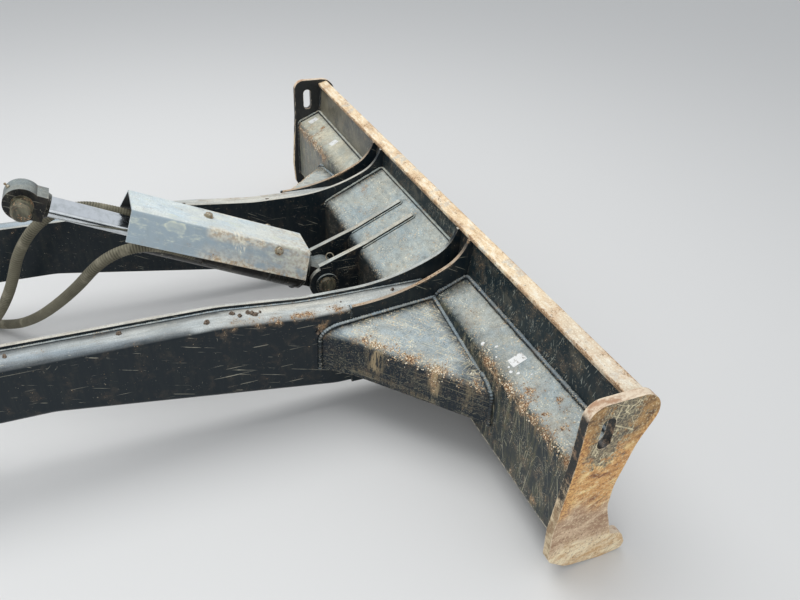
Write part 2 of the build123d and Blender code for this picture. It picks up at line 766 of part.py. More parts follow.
def main():
    os.makedirs("parts", exist_ok=True)
    inside_end = HALF - END_WALL
    nodes = {
        "mouldboard": across(mouldboard(), -inside_end, inside_end),
        "top_rim": across(rim_profile(), -inside_end, inside_end),
        "cutting_edge": across(edge_profile(), -inside_end, inside_end),
        "centre_box": across(folded_box(CENTRE_BOX), -INNER_X, INNER_X),
        "ear_pin": ear_pin(),
        "cylinder_tube": tube(),
        "cylinder_eye": cylinder_eye(),
        "cylinder_gland": gland(),
        "rod": rod(),
        "rod_eye": rod_eye(),
        "machine_pin": machine_pin(),
        "cylinder_guard": guard(),
        "guard_bracket_front": bracket(BRACKET_FRONT),
        "guard_bracket_rear": bracket(TUBE_END - BRACKET_REAR - GUARD_START - BRACKET_FOOT),
    }
    pairs = {
        "end_plate": across(end_plate(), inside_end, HALF),
        "side_box": across(folded_box(SIDE_BOX), OUTER_X, inside_end),
        "arm_inner_plate": inner_plate(),
        "arm_riser_plate": riser_plate(),
        "arm_channel": arm_channel(),
        "arm_floor": arm_floor(),
        "arm_boss": arm_boss(),
        "arm_pin": arm_pin(),
        "gusset": gusset(),
        "ear_plate": ear_plate(),
        "ear_collar": ear_collar(),
    }
    for name, right in pairs.items():
        nodes.update(both(name, right))
    nodes.update(hose_nodes())
    for name, shape in nodes.items():
        write(name, shape)


main()
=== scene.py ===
"""Finish of a small crawler excavator's dozer blade: worn enamel, rust, welds, bolts and hoses."""
import math
import random

import bpy
from mathutils import Matrix, Vector


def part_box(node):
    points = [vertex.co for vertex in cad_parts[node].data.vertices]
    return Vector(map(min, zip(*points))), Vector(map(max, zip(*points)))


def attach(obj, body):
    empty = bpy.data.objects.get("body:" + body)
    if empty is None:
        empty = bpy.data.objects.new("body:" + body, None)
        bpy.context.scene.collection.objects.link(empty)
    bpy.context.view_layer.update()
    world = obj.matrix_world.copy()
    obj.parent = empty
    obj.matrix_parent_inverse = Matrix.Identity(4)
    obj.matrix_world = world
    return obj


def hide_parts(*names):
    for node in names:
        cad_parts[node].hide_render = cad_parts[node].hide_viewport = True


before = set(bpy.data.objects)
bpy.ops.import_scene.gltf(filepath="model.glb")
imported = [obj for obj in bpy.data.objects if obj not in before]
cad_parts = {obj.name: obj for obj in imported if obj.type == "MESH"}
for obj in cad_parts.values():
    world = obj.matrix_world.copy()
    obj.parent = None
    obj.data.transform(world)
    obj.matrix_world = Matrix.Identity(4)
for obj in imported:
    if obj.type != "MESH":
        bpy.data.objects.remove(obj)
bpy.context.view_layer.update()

# Places taken from the frame, in metres

RIGHT = Vector((1, 0, 0))
FORWARD = Vector((0, 1, 0))
UP = Vector((0, 0, 1))
BOX_LOW, BOX_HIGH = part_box("side_box_right")
CENTRE_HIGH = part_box("centre_box")[1]
INNER_LOW, INNER_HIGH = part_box("arm_inner_plate_right")
RISER_LOW, RISER_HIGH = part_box("arm_riser_plate_right")
GUSSET_LOW, GUSSET_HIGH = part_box("gusset_right")
END_LOW, END_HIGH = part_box("end_plate_right")
EAR_LOW, EAR_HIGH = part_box("ear_plate_right")
RIM_LOW, RIM_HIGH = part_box("top_rim")
EAR_PIN = sum(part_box("ear_pin"), Vector()) / 2
UPPER_PIN = sum(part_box("machine_pin"), Vector()) / 2
ARM_OUTSIDE = RISER_HIGH.x
ARM_INSIDE = CENTRE_HIGH.x
ARM_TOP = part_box("arm_channel_right")[1].z
BOX_FOLD = (BOX_LOW.y, 0.03)                # Y and height of a side box's fold
BOX_CREST = (1.25, 0.08)                    # Y and height of its top
FLOOR = END_LOW.z

CYLINDER_LINE = (UPPER_PIN - EAR_PIN).normalized()
GUARD_TILT = math.radians(1.33)
GUARD_LINE = Matrix.Rotation(GUARD_TILT, 3, RIGHT) @ CYLINDER_LINE
GUARD_UP = GUARD_LINE.cross(RIGHT)
GUARD_START = EAR_PIN + CYLINDER_LINE * 0.089      # middle of its blade end
GUARD_TOP = 0.083
GUARD_FOLD = (0.0575, GUARD_TOP)            # across and height of the fold at its blade end
GUARD_FOOT = (0.1005, 0.015)                # across and height of its lower edge
GUARD_SIDE = Vector((0.845, 0, 0.534))      # how its sides face: outward and up


def on_guard(along, across, height):
    """Point by the cylinder guard: from its blade end, across and up from its middle line."""
    return GUARD_START + GUARD_LINE * along + RIGHT * across + GUARD_UP * height


OVAL_START, OVAL_END = on_guard(0.353, 0.068, 0.0666), on_guard(0.378, 0.068, 0.0666)      # rubbed oval

# Turns that draw a pattern out in one direction

UPRIGHT = (0, math.pi / 2, 0)
DOWNWARD = (0, 1.25, 0)                     # with a lean to one side
ALONG_Y = (0, 0, math.pi / 2)
ALONG_GUARD = (0, 0.428, math.pi / 2)
ALONG_GUSSET = (0, 0, math.atan2(0.236, 0.270))

# Shader helpers


def feed(tree, socket, value):
    """Link a socket to another, or set its value."""
    if isinstance(value, bpy.types.NodeSocket):
        tree.links.new(value, socket)
    elif hasattr(socket.default_value, "__len__") and not hasattr(value, "__len__"):
        socket.default_value = [value] * len(socket.default_value)
    elif socket.type == "RGBA" and len(value) == 3:
        socket.default_value = (*value, 1)
    else:
        socket.default_value = value


def add(tree, kind, inputs=None, **settings):
    """New node in a tree with its settings, and its inputs by name or number."""
    node = tree.nodes.new(kind)
    for name, value in settings.items():
        setattr(node, name, value)
    for name, value in (inputs or {}).items():
        feed(tree, node.inputs[name], value)
    return node


def output(tree, kind, inputs=None, **settings):
    """First output of a new node."""
    return add(tree, kind, inputs, **settings).outputs[0]


def sums(tree, operation, first, second=0.0, clamped=False):
    """Sum on two numbers, of any size unless it is clamped between 0 and 1."""
    return output(tree, "ShaderNodeMath", {0: first, 1: second}, operation=operation, use_clamp=clamped)


def by(tree, first, second):
    return sums(tree, "MULTIPLY", first, second)


def plus(tree, first, second):
    return sums(tree, "ADD", first, second)


def minus(tree, first, second):
    return sums(tree, "SUBTRACT", first, second)


def swing(tree, value, amount):
    """How far a noise is from its middle, times an amount."""
    return by(tree, minus(tree, value, 0.5), amount)


def calc(tree, operation, first, second=0.0):
    """Sum on two numbers, kept between 0 and 1."""
    return sums(tree, operation, first, second, True)


def times(tree, first, second):
    """Product, kept between 0 and 1."""
    return calc(tree, "MULTIPLY", first, second)


def most(tree, first, second):
    """The larger of two numbers, kept between 0 and 1."""
    return calc(tree, "MAXIMUM", first, second)


def less(tree, first, second):
    """Difference, kept between 0 and 1."""
    return calc(tree, "SUBTRACT", first, second)


def rest(tree, value):
    """What a mask leaves of 1."""
    return less(tree, 1.0, value)


def vectors(tree, operation, first, second=(0, 0, 0)):
    node = add(tree, "ShaderNodeVectorMath", {0: first, 1: second}, operation=operation)
    return node.outputs["Value" if operation in ("DOT_PRODUCT", "DISTANCE") else "Vector"]


def scaled(tree, vector, amount):
    return output(tree, "ShaderNodeVectorMath", {0: vector, 3: amount}, operation="SCALE")


def ease(tree, value, low, high):
    """0 below low, 1 above high and smooth between."""
    return output(tree, "ShaderNodeMapRange", {0: value, 1: low, 2: high}, interpolation_type="SMOOTHSTEP")


def spread(tree, value, low, high):
    """A number from 0 to 1 laid out from low to high."""
    return output(tree, "ShaderNodeMapRange", {0: value, 3: low, 4: high})


def mixed(tree, factor, low, high):
    """A number between low and high, either of them a value or a socket."""
    return output(tree, "ShaderNodeMix", {0: factor, 2: low, 3: high})


def mix(tree, factor, low, high, blend="MIX"):
    """Colour mixed from low to high."""
    node = add(tree, "ShaderNodeMix", {0: factor, 6: low, 7: high}, data_type="RGBA", blend_type=blend)
    return node.outputs[2]


def shade(tree, value, low, high, first, second):
    """First colour where a number is below low, second above high, mixed between."""
    return mix(tree, ease(tree, value, low, high), first, second)


def noise(tree, vector, scale, detail=3.0, roughness=0.55, distortion=0.0):
    inputs = {"Vector": vector, "Scale": scale, "Detail": detail, "Roughness": roughness,
              "Distortion": distortion}
    return output(tree, "ShaderNodeTexNoise", inputs)


def drawn_out(tree, vector, turn, stretch):
    """Coordinates turned about the origin, then drawn out along the turned X."""
    size = output(tree, "ShaderNodeCombineXYZ", {0: stretch, 1: 1.0, 2: 1.0})
    inputs = {"Vector": vector, "Rotation": turn, "Scale": size}
    return output(tree, "ShaderNodeMapping", inputs, vector_type="TEXTURE")


def strokes(tree, vector, turn, stretch, *look):
    """Noise drawn out in one direction, its look given as for any noise."""
    return noise(tree, drawn_out(tree, vector, turn, stretch), *look)


def contour(tree, value, width):
    """Thin wandering line where a noise passes its middle."""
    return rest(tree, ease(tree, sums(tree, "ABSOLUTE", minus(tree, value, 0.5)), 0.0, width))


def own_place(tree):
    return add(tree, "ShaderNodeTexCoord").outputs["Object"]


def own_places(tree):
    """The object's own X, Y and Z, each by itself."""
    return add(tree, "ShaderNodeSeparateXYZ", {0: own_place(tree)}).outputs


SOCKETS = {"value": "NodeSocketFloat", "count": "NodeSocketInt", "colour": "NodeSocketColor",
           "vector": "NodeSocketVector", "material": "NodeSocketMaterial", "geometry": "NodeSocketGeometry"}


def new_group(name, inputs, outputs, kind="ShaderNodeTree"):
    """Group with named sockets: inputs given as (name, kind, value), outputs as (name, kind)."""
    tree = bpy.data.node_groups.new(name, kind)
    for socket_name, socket_kind, value in inputs:
        socket = tree.interface.new_socket(socket_name, in_out="INPUT", socket_type=SOCKETS[socket_kind])
        if value is not None:
            socket.default_value = (*value, 1) if socket_kind == "colour" else value
    for socket_name, socket_kind in outputs:
        tree.interface.new_socket(socket_name, in_out="OUTPUT", socket_type=SOCKETS[socket_kind])
    return tree, tree.nodes.new("NodeGroupInput").outputs, tree.nodes.new("NodeGroupOutput").inputs


def use(tree, group, **inputs):
    """Outputs of a shader group with its own values; an underscore stands for a space."""
    named = {name.replace("_", " "): value for name, value in inputs.items()}
    return add(tree, "ShaderNodeGroup", named, node_tree=group).outputs


# Shared effects


def make_facing():
    """Where a surface faces a direction: what faces up gets dust with a painted sky sheen, and the guard's
    downward inside gets painted shade.
    """
    tree, given, result = new_group(
        "Facing", [("Direction", "vector", (0, 0, 1)), ("Low", "value", 0.45), ("High", "value", 0.8)],
        [("Mask", "value")])
    normal = add(tree, "ShaderNodeTexCoord").outputs["Normal"]
    toward = vectors(tree, "DOT_PRODUCT", normal, given["Direction"])
    feed(tree, result["Mask"], ease(tree, toward, given["Low"], given["High"]))
    return tree


def make_edge_wear():
    """Paint rubbed off along edges, broken up by noise."""
    tree, given, result = new_group(
        "Edge Wear", [("Width", "value", 0.004), ("Amount", "value", 1.0)], [("Mask", "value")])
    rounded = output(tree, "ShaderNodeBevel", {"Radius": given["Width"]}, samples=6)
    flat = add(tree, "ShaderNodeNewGeometry").outputs["True Normal"]
    edge = ease(tree, rest(tree, vectors(tree, "DOT_PRODUCT", rounded, flat)), 0.03, 0.2)
    rough = ease(tree, noise(tree, own_place(tree), 48.0, 6.0, 0.7), 0.42, 0.60)
    feed(tree, result["Mask"], times(tree, times(tree, edge, rough), given["Amount"]))
    return tree


def make_scratches():
    """Fine scratches in two crossing directions and a few curls, gathered in patches."""
    tree, given, result = new_group(
        "Scratches",
        [("Turn", "vector", (0, 0, 0)), ("Cross", "vector", (0, 0, 0.9)), ("Stretch", "value", 42.0),
         ("Size", "value", 310.0), ("Density", "value", 0.5)],
        [("Mask", "value")])
    place = own_place(tree)
    limit = spread(tree, given["Density"], 0.73, 0.55)
    whole = 0.0
    for index, extra in enumerate(((0, 0, 0), given["Cross"])):
        turn = vectors(tree, "ADD", given["Turn"], extra)
        moved = vectors(tree, "ADD", place, (2.1 * index, 0.7 * index, 1.3))
        stroke = strokes(tree, moved, turn, given["Stretch"], given["Size"], 2.0, 0.5, 0.25)
        patch = ease(tree, noise(tree, moved, 14.0 + 5.0 * index, 3.0, 0.6), 0.36, 0.58)
        bar = plus(tree, limit, spread(tree, patch, 0.10, 0.0))
        whole = most(tree, whole, ease(tree, stroke, bar, plus(tree, bar, 0.03)))
    curl = contour(tree, noise(tree, place, 30.0, 1.0, 0.5, 0.8), 0.016)
    gathered = noise(tree, place, 17.0, 3.0, 0.6)
    gathered = ease(tree, gathered, minus(tree, limit, 0.02), plus(tree, limit, 0.02))
    whole = most(tree, whole, times(tree, curl, gathered))
    strength = spread(tree, noise(tree, place, 45.0, 2.0), 0.1, 1.1)
    feed(tree, result["Mask"], times(tree, whole, strength))
    return tree


def make_worn_line():
    """Mask that fades with the distance from a line, alike on both sides of the machine."""
    tree, given, result = new_group(
        "Worn Line",
        [("Start", "vector", (0, 0, 0)), ("End", "vector", (0, 0, 0)), ("Reach", "value", 0.03)],
        [("Mask", "value")])
    x, y, z = own_places(tree)
    place = output(tree, "ShaderNodeCombineXYZ", {0: sums(tree, "ABSOLUTE", x), 1: y, 2: z})
    line = vectors(tree, "SUBTRACT", given["End"], given["Start"])
    gone = vectors(tree, "SUBTRACT", place, given["Start"])
    whole = sums(tree, "MAXIMUM", vectors(tree, "DOT_PRODUCT", line, line), 0.000001)
    share = calc(tree, "DIVIDE", vectors(tree, "DOT_PRODUCT", gone, line), whole)
    apart = vectors(tree, "DISTANCE", gone, scaled(tree, line, share))
    feed(tree, result["Mask"], rest(tree, sums(tree, "DIVIDE", apart, given["Reach"])))
    return tree


def make_rust():
    """Rust in specks and crusts with a stain round it, as thick as its cover says."""
    tree, given, result = new_group(
        "Rust",
        [("Cover", "value", 0.3), ("Grain", "value", 230.0), ("Clump", "value", 26.0)],
        [("Colour", "colour"), ("Mask", "value"), ("Stain", "value"), ("Height", "value")])
    place = own_place(tree)
    fine = noise(tree, place, given["Grain"], 5.0, 0.7)
    clump = noise(tree, place, given["Clump"], 6.0, 0.64)
    level = by(tree, plus(tree, fine, clump), 0.5)
    limit = spread(tree, given["Cover"], 0.65, 0.42)
    mask = ease(tree, level, limit, plus(tree, limit, 0.03))
    soft = ease(tree, clump, minus(tree, limit, 0.12), plus(tree, limit, 0.08))
    tone = noise(tree, place, 290.0, 3.0, 0.65)
    deep = shade(tree, tone, 0.38, 0.50, (0.065, 0.038, 0.023), (0.33, 0.185, 0.092))
    feed(tree, result["Colour"], shade(tree, tone, 0.52, 0.62, deep, (0.80, 0.65, 0.44)))
    feed(tree, result["Mask"], mask)
    feed(tree, result["Stain"], times(tree, soft, given["Cover"]))
    feed(tree, result["Height"], times(tree, mask, tone))
    return tree


FACING = make_facing()
EDGE_WEAR = make_edge_wear()
SCRATCHES = make_scratches()
WORN_LINE = make_worn_line()
RUST = make_rust()


def dust_and_sky_sheen(tree, given, up):
    """Dust with a painted sky sheen on what faces up: how much of it there is, and its colour; painted
    shade along corners and folds takes some away.
    """
    place = own_place(tree)
    smeared = drawn_out(tree, place, given["Turn"], given["Streak"])
    broad = ease(tree, noise(tree, place, 8.0, 5.0, 0.6), 0.22, 0.58)
    mottle = ease(tree, noise(tree, smeared, 60.0, 7.0, 0.7), 0.30, 0.60)
    cover = spread(tree, times(tree, broad, mottle), 0.60, 1.0)
    film = times(tree, times(tree, up, given["Dust Amount"]), cover)
    # painted shade along corners and folds: the dust and sky sheen is taken off near the Thin lines
    wiped_and_painted_light = times(tree, ease(tree, given["Thin"], 0.0, 0.9), spread(tree, mottle, 1.0, 0.75))
    warm = noise(tree, smeared, 13.0, 6.0, 0.65)
    tint = shade(tree, warm, 0.36, 0.64, (0.90, 0.96, 1.0), (1.08, 1.03, 0.95))
    grain = spread(tree, ease(tree, noise(tree, place, 430.0, 3.0, 0.7), 0.36, 0.64), 0.78, 1.16)
    # colour of the dust and of the painted sky sheen on what faces up
    dust = scaled(tree, mix(tree, 1.0, given["Dust"], tint, "MULTIPLY"), grain)
    return times(tree, film, rest(tree, wiped_and_painted_light)), dust


def specked(tree, given, up, colour):
    """A colour with pale and dark specks on it, fewer on the sides."""
    place = own_place(tree)
    dot = noise(tree, place, 270.0, 2.0, 0.5)
    bar = spread(tree, given["Specks"], 0.75, 0.562)
    gathered = ease(tree, noise(tree, place, 21.0, 4.0, 0.6), 0.38, 0.58)
    pale = ease(tree, dot, bar, plus(tree, bar, 0.05))
    pale = times(tree, pale, times(tree, gathered, spread(tree, up, 0.45, 1.0)))
    pale = times(tree, pale, mixed(tree, up, given["Side Marks"], 1.0))
    warm = noise(tree, place, 75.0, 3.0, 0.6)
    speck = shade(tree, warm, 0.44, 0.58, (0.80, 0.76, 0.60), (0.62, 0.43, 0.22))
    colour = mix(tree, times(tree, pale, 0.85), colour, speck)
    low_bar = spread(tree, given["Specks"], 0.20, 0.34)
    dark = ease(tree, by(tree, dot, -1.0), by(tree, low_bar, -1.0), minus(tree, 0.05, low_bar))
    return mix(tree, times(tree, dark, 0.7), colour, (0.05, 0.050, 0.042))


def make_weathered_paint():
    """Enamel under grime, dust with a painted sky sheen on what faces up, painted shade along corners and
    folds, stains, scratches, specks and rust.
    """
    tree, given, result = new_group(
        "Weathered Paint",
        [
            ("Paint", "colour", (0.008, 0.014, 0.019)),
            # Dust: colour of the dust and painted sky sheen on what faces up
            ("Dust", "colour", (0.40, 0.44, 0.43)),
            ("Dust Amount", "value", 0.94),
            ("Dust Low", "value", 0.30),
            ("Dust High", "value", 0.84),
            # Thin: painted shade along corners and folds, where the dust and sheen is taken off
            ("Thin", "value", 0.0),
            ("Streak", "value", 1.6),
            ("Grime", "value", 0.25),
            ("Turn", "vector", (0, 0, 0)),
            ("Cross", "vector", (0, 0, 0.9)),
            ("Scratches", "value", 0.4),
            ("Scratch", "colour", (0.66, 0.63, 0.50)),
            ("Side Marks", "value", 1.0),
            ("Specks", "value", 0.4),
            ("Cover", "value", 0.1),
            ("Edge Width", "value", 0.003),
            ("Edge Amount", "value", 0.5),
            ("Edge", "colour", (0.50, 0.43, 0.34)),
        ],
        [("Colour", "colour"), ("Roughness", "value"), ("Height", "value")])
    place = own_place(tree)
    up = use(tree, FACING, Low=given["Dust Low"], High=given["Dust High"])["Mask"]
    film, dust = dust_and_sky_sheen(tree, given, up)
    run = strokes(tree, place, UPRIGHT, 8.0, 70.0, 6.0, 0.68)
    grime = times(tree, ease(tree, run, 0.44, 0.70), given["Grime"])
    colour = mix(tree, film, mix(tree, grime, given["Paint"], (0.125, 0.125, 0.082)), dust)
    rust = use(tree, RUST, Cover=given["Cover"])
    colour = mix(tree, times(tree, rust["Stain"], 0.7), colour, (0.37, 0.265, 0.165))
    drip = times(tree, ease(tree, run, 0.50, 0.66), ease(tree, given["Cover"], 0.26, 0.75))
    colour = mix(tree, times(tree, drip, less(tree, 0.85, up)), colour, (0.36, 0.240, 0.130))
    marks = use(tree, SCRATCHES, Turn=given["Turn"], Cross=given["Cross"],
                Density=given["Scratches"])["Mask"]
    marks = times(tree, marks, mixed(tree, up, given["Side Marks"], 1.0))
    colour = mix(tree, times(tree, marks, 0.65), colour, given["Scratch"])
    colour = specked(tree, given, up, colour)
    edge = use(tree, EDGE_WEAR, Width=given["Edge Width"], Amount=given["Edge Amount"])["Mask"]
    colour = mix(tree, edge, colour, given["Edge"])
    feed(tree, result["Colour"], mix(tree, rust["Mask"], colour, rust["Colour"]))
    dull = most(tree, film, most(tree, rust["Mask"], grime))
    feed(tree, result["Roughness"], spread(tree, dull, 0.28, 0.70))
    peel = by(tree, noise(tree, place, 120.0, 3.0), 0.22)
    relief = plus(tree, rust["Height"], peel)
    feed(tree, result["Height"], minus(tree, relief, by(tree, marks, 0.2)))
    return tree


WEATHERED_PAINT = make_weathered_paint()

# Materials


def new_material(looks, name=None, gloss=None):
    """Material from its looks, a function of its tree and its own place.

    The looks are colour and roughness and, where it needs them, height, relief in metres and metallic.
    """
    material = bpy.data.materials.new(name or looks.__name__)
    material.use_nodes = True
    tree = material.node_tree
    shader = next(node for node in tree.nodes if node.type == "BSDF_PRINCIPLED")
    if gloss is not None:
        shader.inputs["Specular IOR Level"].default_value = gloss
    finish_with(tree, shader, *looks(tree, own_place(tree)))
    return material


def finish_with(tree, shader, colour, roughness, height=None, relief=0.0006, metallic=None):
    feed(tree, shader.inputs["Base Color"], colour)
    feed(tree, shader.inputs["Roughness"], roughness)
    if metallic is not None:
        feed(tree, shader.inputs["Metallic"], metallic)
    if height is not None:
        bump = output(tree, "ShaderNodeBump", {"Height": height, "Distance": relief, "Strength": 1.0})
        feed(tree, shader.inputs["Normal"], bump)


def rusted(tree, colour, **values):
    """A colour under specks of rust, and the rust's own outputs."""
    rust = use(tree, RUST, **values)
    return mix(tree, rust["Mask"], colour, rust["Colour"]), rust


def worn_cover(tree, base, lines):
    """Amount that is raised near lines, given as (start, end, reach, amount) on the right side."""
    cover = base
    for start, end, reach, amount in lines:
        nearby = use(tree, WORN_LINE, Start=start, End=end, Reach=reach)["Mask"]
        cover = most(tree, cover, times(tree, nearby, amount))
    return cover


def enamel(name, rust=0.08, rust_lines=(), corner_shade_lines=(), bare_lines=(), bare=(0.62, 0.56, 0.41),
           dust_change=None, far_low=None, **values):
    """Dark enamel as it is on one kind of piece; the lines are those of worn_cover, and the corner shade
    lines paint shade along corners and folds.

    dust_change is (axis, where it starts, ends, colour); far_low is the Dust Low past its end.
    """
    def looks(tree, place):
        if dust_change:
            axis, start, end, colour = dust_change
            gone = output(tree, "ShaderNodeMapRange", {0: own_places(tree)[axis], 1: start, 2: end})
            values["Dust"] = mix(tree, gone, values["Dust"], colour)
            if far_low is not None:
                values["Dust_Low"] = mixed(tree, gone, 0.30, far_low)
        paint = use(tree, WEATHERED_PAINT, Cover=worn_cover(tree, rust, rust_lines),
                    Thin=worn_cover(tree, 0.0, corner_shade_lines), **values)
        colour = paint["Colour"]
        if bare_lines:
            patchy = ease(tree, strokes(tree, place, UPRIGHT, 5.0, 110.0, 6.0, 0.75), 0.44, 0.56)
            scraped = ease(tree, worn_cover(tree, 0.0, bare_lines), 0.0, 0.5)
            colour = mix(tree, times(tree, scraped, patchy), colour, bare)
        return colour, paint["Roughness"], paint["Height"]

    return new_material(looks, name, gloss=0.26)


ARM_PAINT = enamel(
    "arm_enamel", rust=0.10,
    rust_lines=[
        ((0.332, 0.60, 0.055), (0.336, 0.93, 0.050), 0.035, 0.58),
        ((ARM_OUTSIDE, 0.858, 0.018), (ARM_OUTSIDE, 0.858, 0.018), 0.03, 1.0),
    ],
    # painted shade beside the inner plate's lip and along the outer bend
    corner_shade_lines=[
        ((INNER_HIGH.x, 0.0, ARM_TOP), (INNER_HIGH.x, 0.62, ARM_TOP), 0.026, 1.0),
        ((INNER_HIGH.x, 0.62, ARM_TOP), (INNER_HIGH.x, 1.25, 0.045), 0.020, 0.8),
        ((ARM_OUTSIDE, 0.0, ARM_TOP), (ARM_OUTSIDE, 0.55, ARM_TOP), 0.026, 0.9),
    ],
    Turn=ALONG_Y, Cross=(0, 0.3, 0), Streak=7.0, Dust=(0.45, 0.50, 0.53), Specks=0.25, Grime=0.05,
    dust_change=("Y", 0.30, 0.75, (0.62, 0.63, 0.60)), Scratches=0.30)
# near-white dust on the plates' top edges, partly a painted highlight
INNER_PAINT = enamel(
    "inner_plate_enamel", rust=0.08, Turn=ALONG_Y, Cross=(0, 0.5, 0), Streak=5.0, Dust=(0.60, 0.60, 0.56),
    Dust_Low=0.5, Dust_High=0.9, Specks=0.35, Grime=0.08, Scratches=0.22)
RISER_PAINT = enamel(
    "riser_enamel", rust=0.08,
    rust_lines=[
        ((0.341, 0.94, 0.053), (0.341, 1.12, 0.085), 0.012, 0.8),
        ((0.341, 1.12, 0.085), (0.341, 1.19, 0.115), 0.012, 0.8),
        ((0.341, 1.19, 0.115), (0.341, 1.24, 0.180), 0.012, 0.8),
    ],
    Turn=ALONG_Y, Cross=(0, 0.5, 0), Dust=(0.54, 0.42, 0.31), Specks=0.25, Grime=0.10, Scratches=0.25)
BOX_PAINT = enamel(
    "box_enamel", rust=0.20,
    rust_lines=[
        ((0.60, *BOX_FOLD), (BOX_HIGH.x, *BOX_FOLD), 0.050, 0.72),
        ((0.70, 1.190, 0.050), (BOX_HIGH.x, 1.190, 0.050), 0.080, 0.46),
        ((0.56, 1.165, -0.02), (0.90, 1.165, -0.10), 0.13, 0.28),
        ((0.815, 1.218, 0.067), (0.815, 1.218, 0.067), 0.020, 1.0),
        ((0.870, 1.160, -0.150), (0.870, 1.160, -0.150), 0.030, 0.8),
    ],
    # painted shade along the riser corner, the back fold and the mouldboard seam
    corner_shade_lines=[
        ((ARM_OUTSIDE, *BOX_FOLD), (ARM_OUTSIDE, *BOX_CREST), 0.065, 1.0),
        ((ARM_OUTSIDE, *BOX_FOLD), (0.70, *BOX_FOLD), 0.045, 1.0),
        ((0.70, *BOX_FOLD), (BOX_HIGH.x, *BOX_FOLD), 0.030, 1.0),
        ((ARM_OUTSIDE, *BOX_CREST), (BOX_HIGH.x, *BOX_CREST), 0.020, 0.7),
    ],
    bare_lines=[((0.40, 1.1622, -0.1735), (BOX_HIGH.x, 1.1622, -0.1735), 0.009, 1.0)],
    dust_change=("X", 0.3, -0.5, (0.62, 0.62, 0.53)), far_low=-0.40, Turn=DOWNWARD, Cross=(0, 0.42, 0),
    Paint=(0.008, 0.017, 0.021), Grime=0.70, Scratches=0.66, Specks=0.85, Scratch=(0.58, 0.55, 0.38),
    Dust=(0.45, 0.49, 0.48))
GUSSET_PAINT = enamel(
    "gusset_enamel", rust=0.12,
    rust_lines=[
        ((0.40, 0.935, -0.002), (0.66, 1.16, -0.025), 0.038, 0.62),
        ((0.47, 1.00, -0.010), (0.51, 1.03, -0.015), 0.030, 0.85),
        ((0.558, 1.070, -0.015), (0.560, 1.072, -0.070), 0.024, 1.00),
        ((0.520, 1.040, -0.020), (0.522, 1.042, -0.050), 0.020, 0.80),
        ((ARM_OUTSIDE, 0.858, 0.0), (ARM_OUTSIDE, 0.858, 0.0), 0.04, 0.9),
    ],
    # painted shade along the arm and down the fold to the box
    corner_shade_lines=[
        ((ARM_OUTSIDE, 0.86, 0.0), (ARM_OUTSIDE, *BOX_FOLD), 0.030, 1.0),
        ((ARM_OUTSIDE, *BOX_FOLD), (0.64, 1.16, -0.01), 0.040, 1.0),
        ((0.60, 1.14, -0.01), (0.66, 1.18, -0.02), 0.060, 1.0),
    ],
    bare_lines=[
        ((0.437, 0.967, -0.016), (0.439, 0.969, -0.065), 0.034, 0.50),
        ((0.558, 1.070, -0.020), (0.560, 1.072, -0.075), 0.024, 0.52),
        ((0.623, 1.128, -0.045), (0.623, 1.128, -0.085), 0.022, 0.36),
        ((0.400, 0.930, -0.095), (0.560, 1.070, -0.108), 0.016, 0.26),
    ],
    bare=(0.40, 0.31, 0.18),
    Turn=ALONG_GUSSET, Cross=(0, 0, 1.1), Grime=0.20, Scratches=0.78, Specks=1.0, Side_Marks=0.35,
    Paint=(0.005, 0.012, 0.020), Dust=(0.50, 0.55, 0.55), Scratch=(0.84, 0.76, 0.50))
CENTRE_PAINT = enamel(
    "centre_enamel", rust=0.16,
    rust_lines=[
        ((0.20, 1.165, 0.080), (0.22, 1.18, 0.085), 0.07, 0.42),
        ((0.09, 1.07, 0.035), (0.07, 1.20, 0.09), 0.045, 0.36),
    ],
    # painted shade along the inner plates, the back edge, the mouldboard seam and the ear
    corner_shade_lines=[
        ((ARM_INSIDE, 1.06, 0.02), (ARM_INSIDE, 1.25, 0.12), 0.040, 1.0),
        ((0.0, 1.058, 0.02), (ARM_INSIDE, 1.058, 0.02), 0.035, 1.0),
        ((0.0, 1.253, 0.122), (ARM_INSIDE, 1.253, 0.122), 0.014, 0.4),
        ((0.047, 1.07, 0.04), (0.047, 1.23, 0.12), 0.016, 0.9),
    ],
    Dust_Low=0.25, Dust_High=0.90, Cross=(0, 0, 1.3), Specks=0.85, Scratches=0.52, Dust=(0.45, 0.50, 0.49),
    Grime=0.15)
EAR_PAINT = enamel(
    "ear_enamel", rust=0.16, Turn=ALONG_Y, Dust=(0.60, 0.60, 0.54), Dust_Low=0.2, Dust_High=0.6, Specks=0.5,
    Grime=0.1)
CYLINDER_PAINT = enamel(
    "cylinder_enamel", rust=0.14, Turn=ALONG_GUARD, Paint=(0.009, 0.010, 0.011), Dust_Amount=0.6,
    Specks=0.3)


def bead_enamel(name, **values):
    """Enamel on weld beads: few scratches, and no edge for them to wear; their dust on what faces up also
    stands as a painted highlight along each bead's top.
    """
    return enamel(name, rust=0.16, Edge_Amount=0.0, Scratches=0.1, Grime=0.1, **values)


WELD_PAINT = bead_enamel(
    # darker where the beads run along the side box's fold: painted shade
    "weld_enamel", dust_change=("Y", 1.135, 1.152, (0.30, 0.35, 0.37)), Dust=(0.48, 0.54, 0.56),
    Dust_Low=0.10, Dust_High=0.9, Specks=0.8)
BOX_WELD_PAINT = bead_enamel(
    "box_weld_enamel", dust_change=("X", 0.3, -0.5, (0.54, 0.57, 0.52)), Dust=(0.27, 0.31, 0.33),
    Dust_Low=0.25, Dust_High=1.0, Specks=0.9)
CENTRE_WELD_PAINT = bead_enamel(
    "centre_weld_enamel", Dust=(0.42, 0.47, 0.45), Dust_Low=0.10, Dust_High=0.85, Specks=0.8)


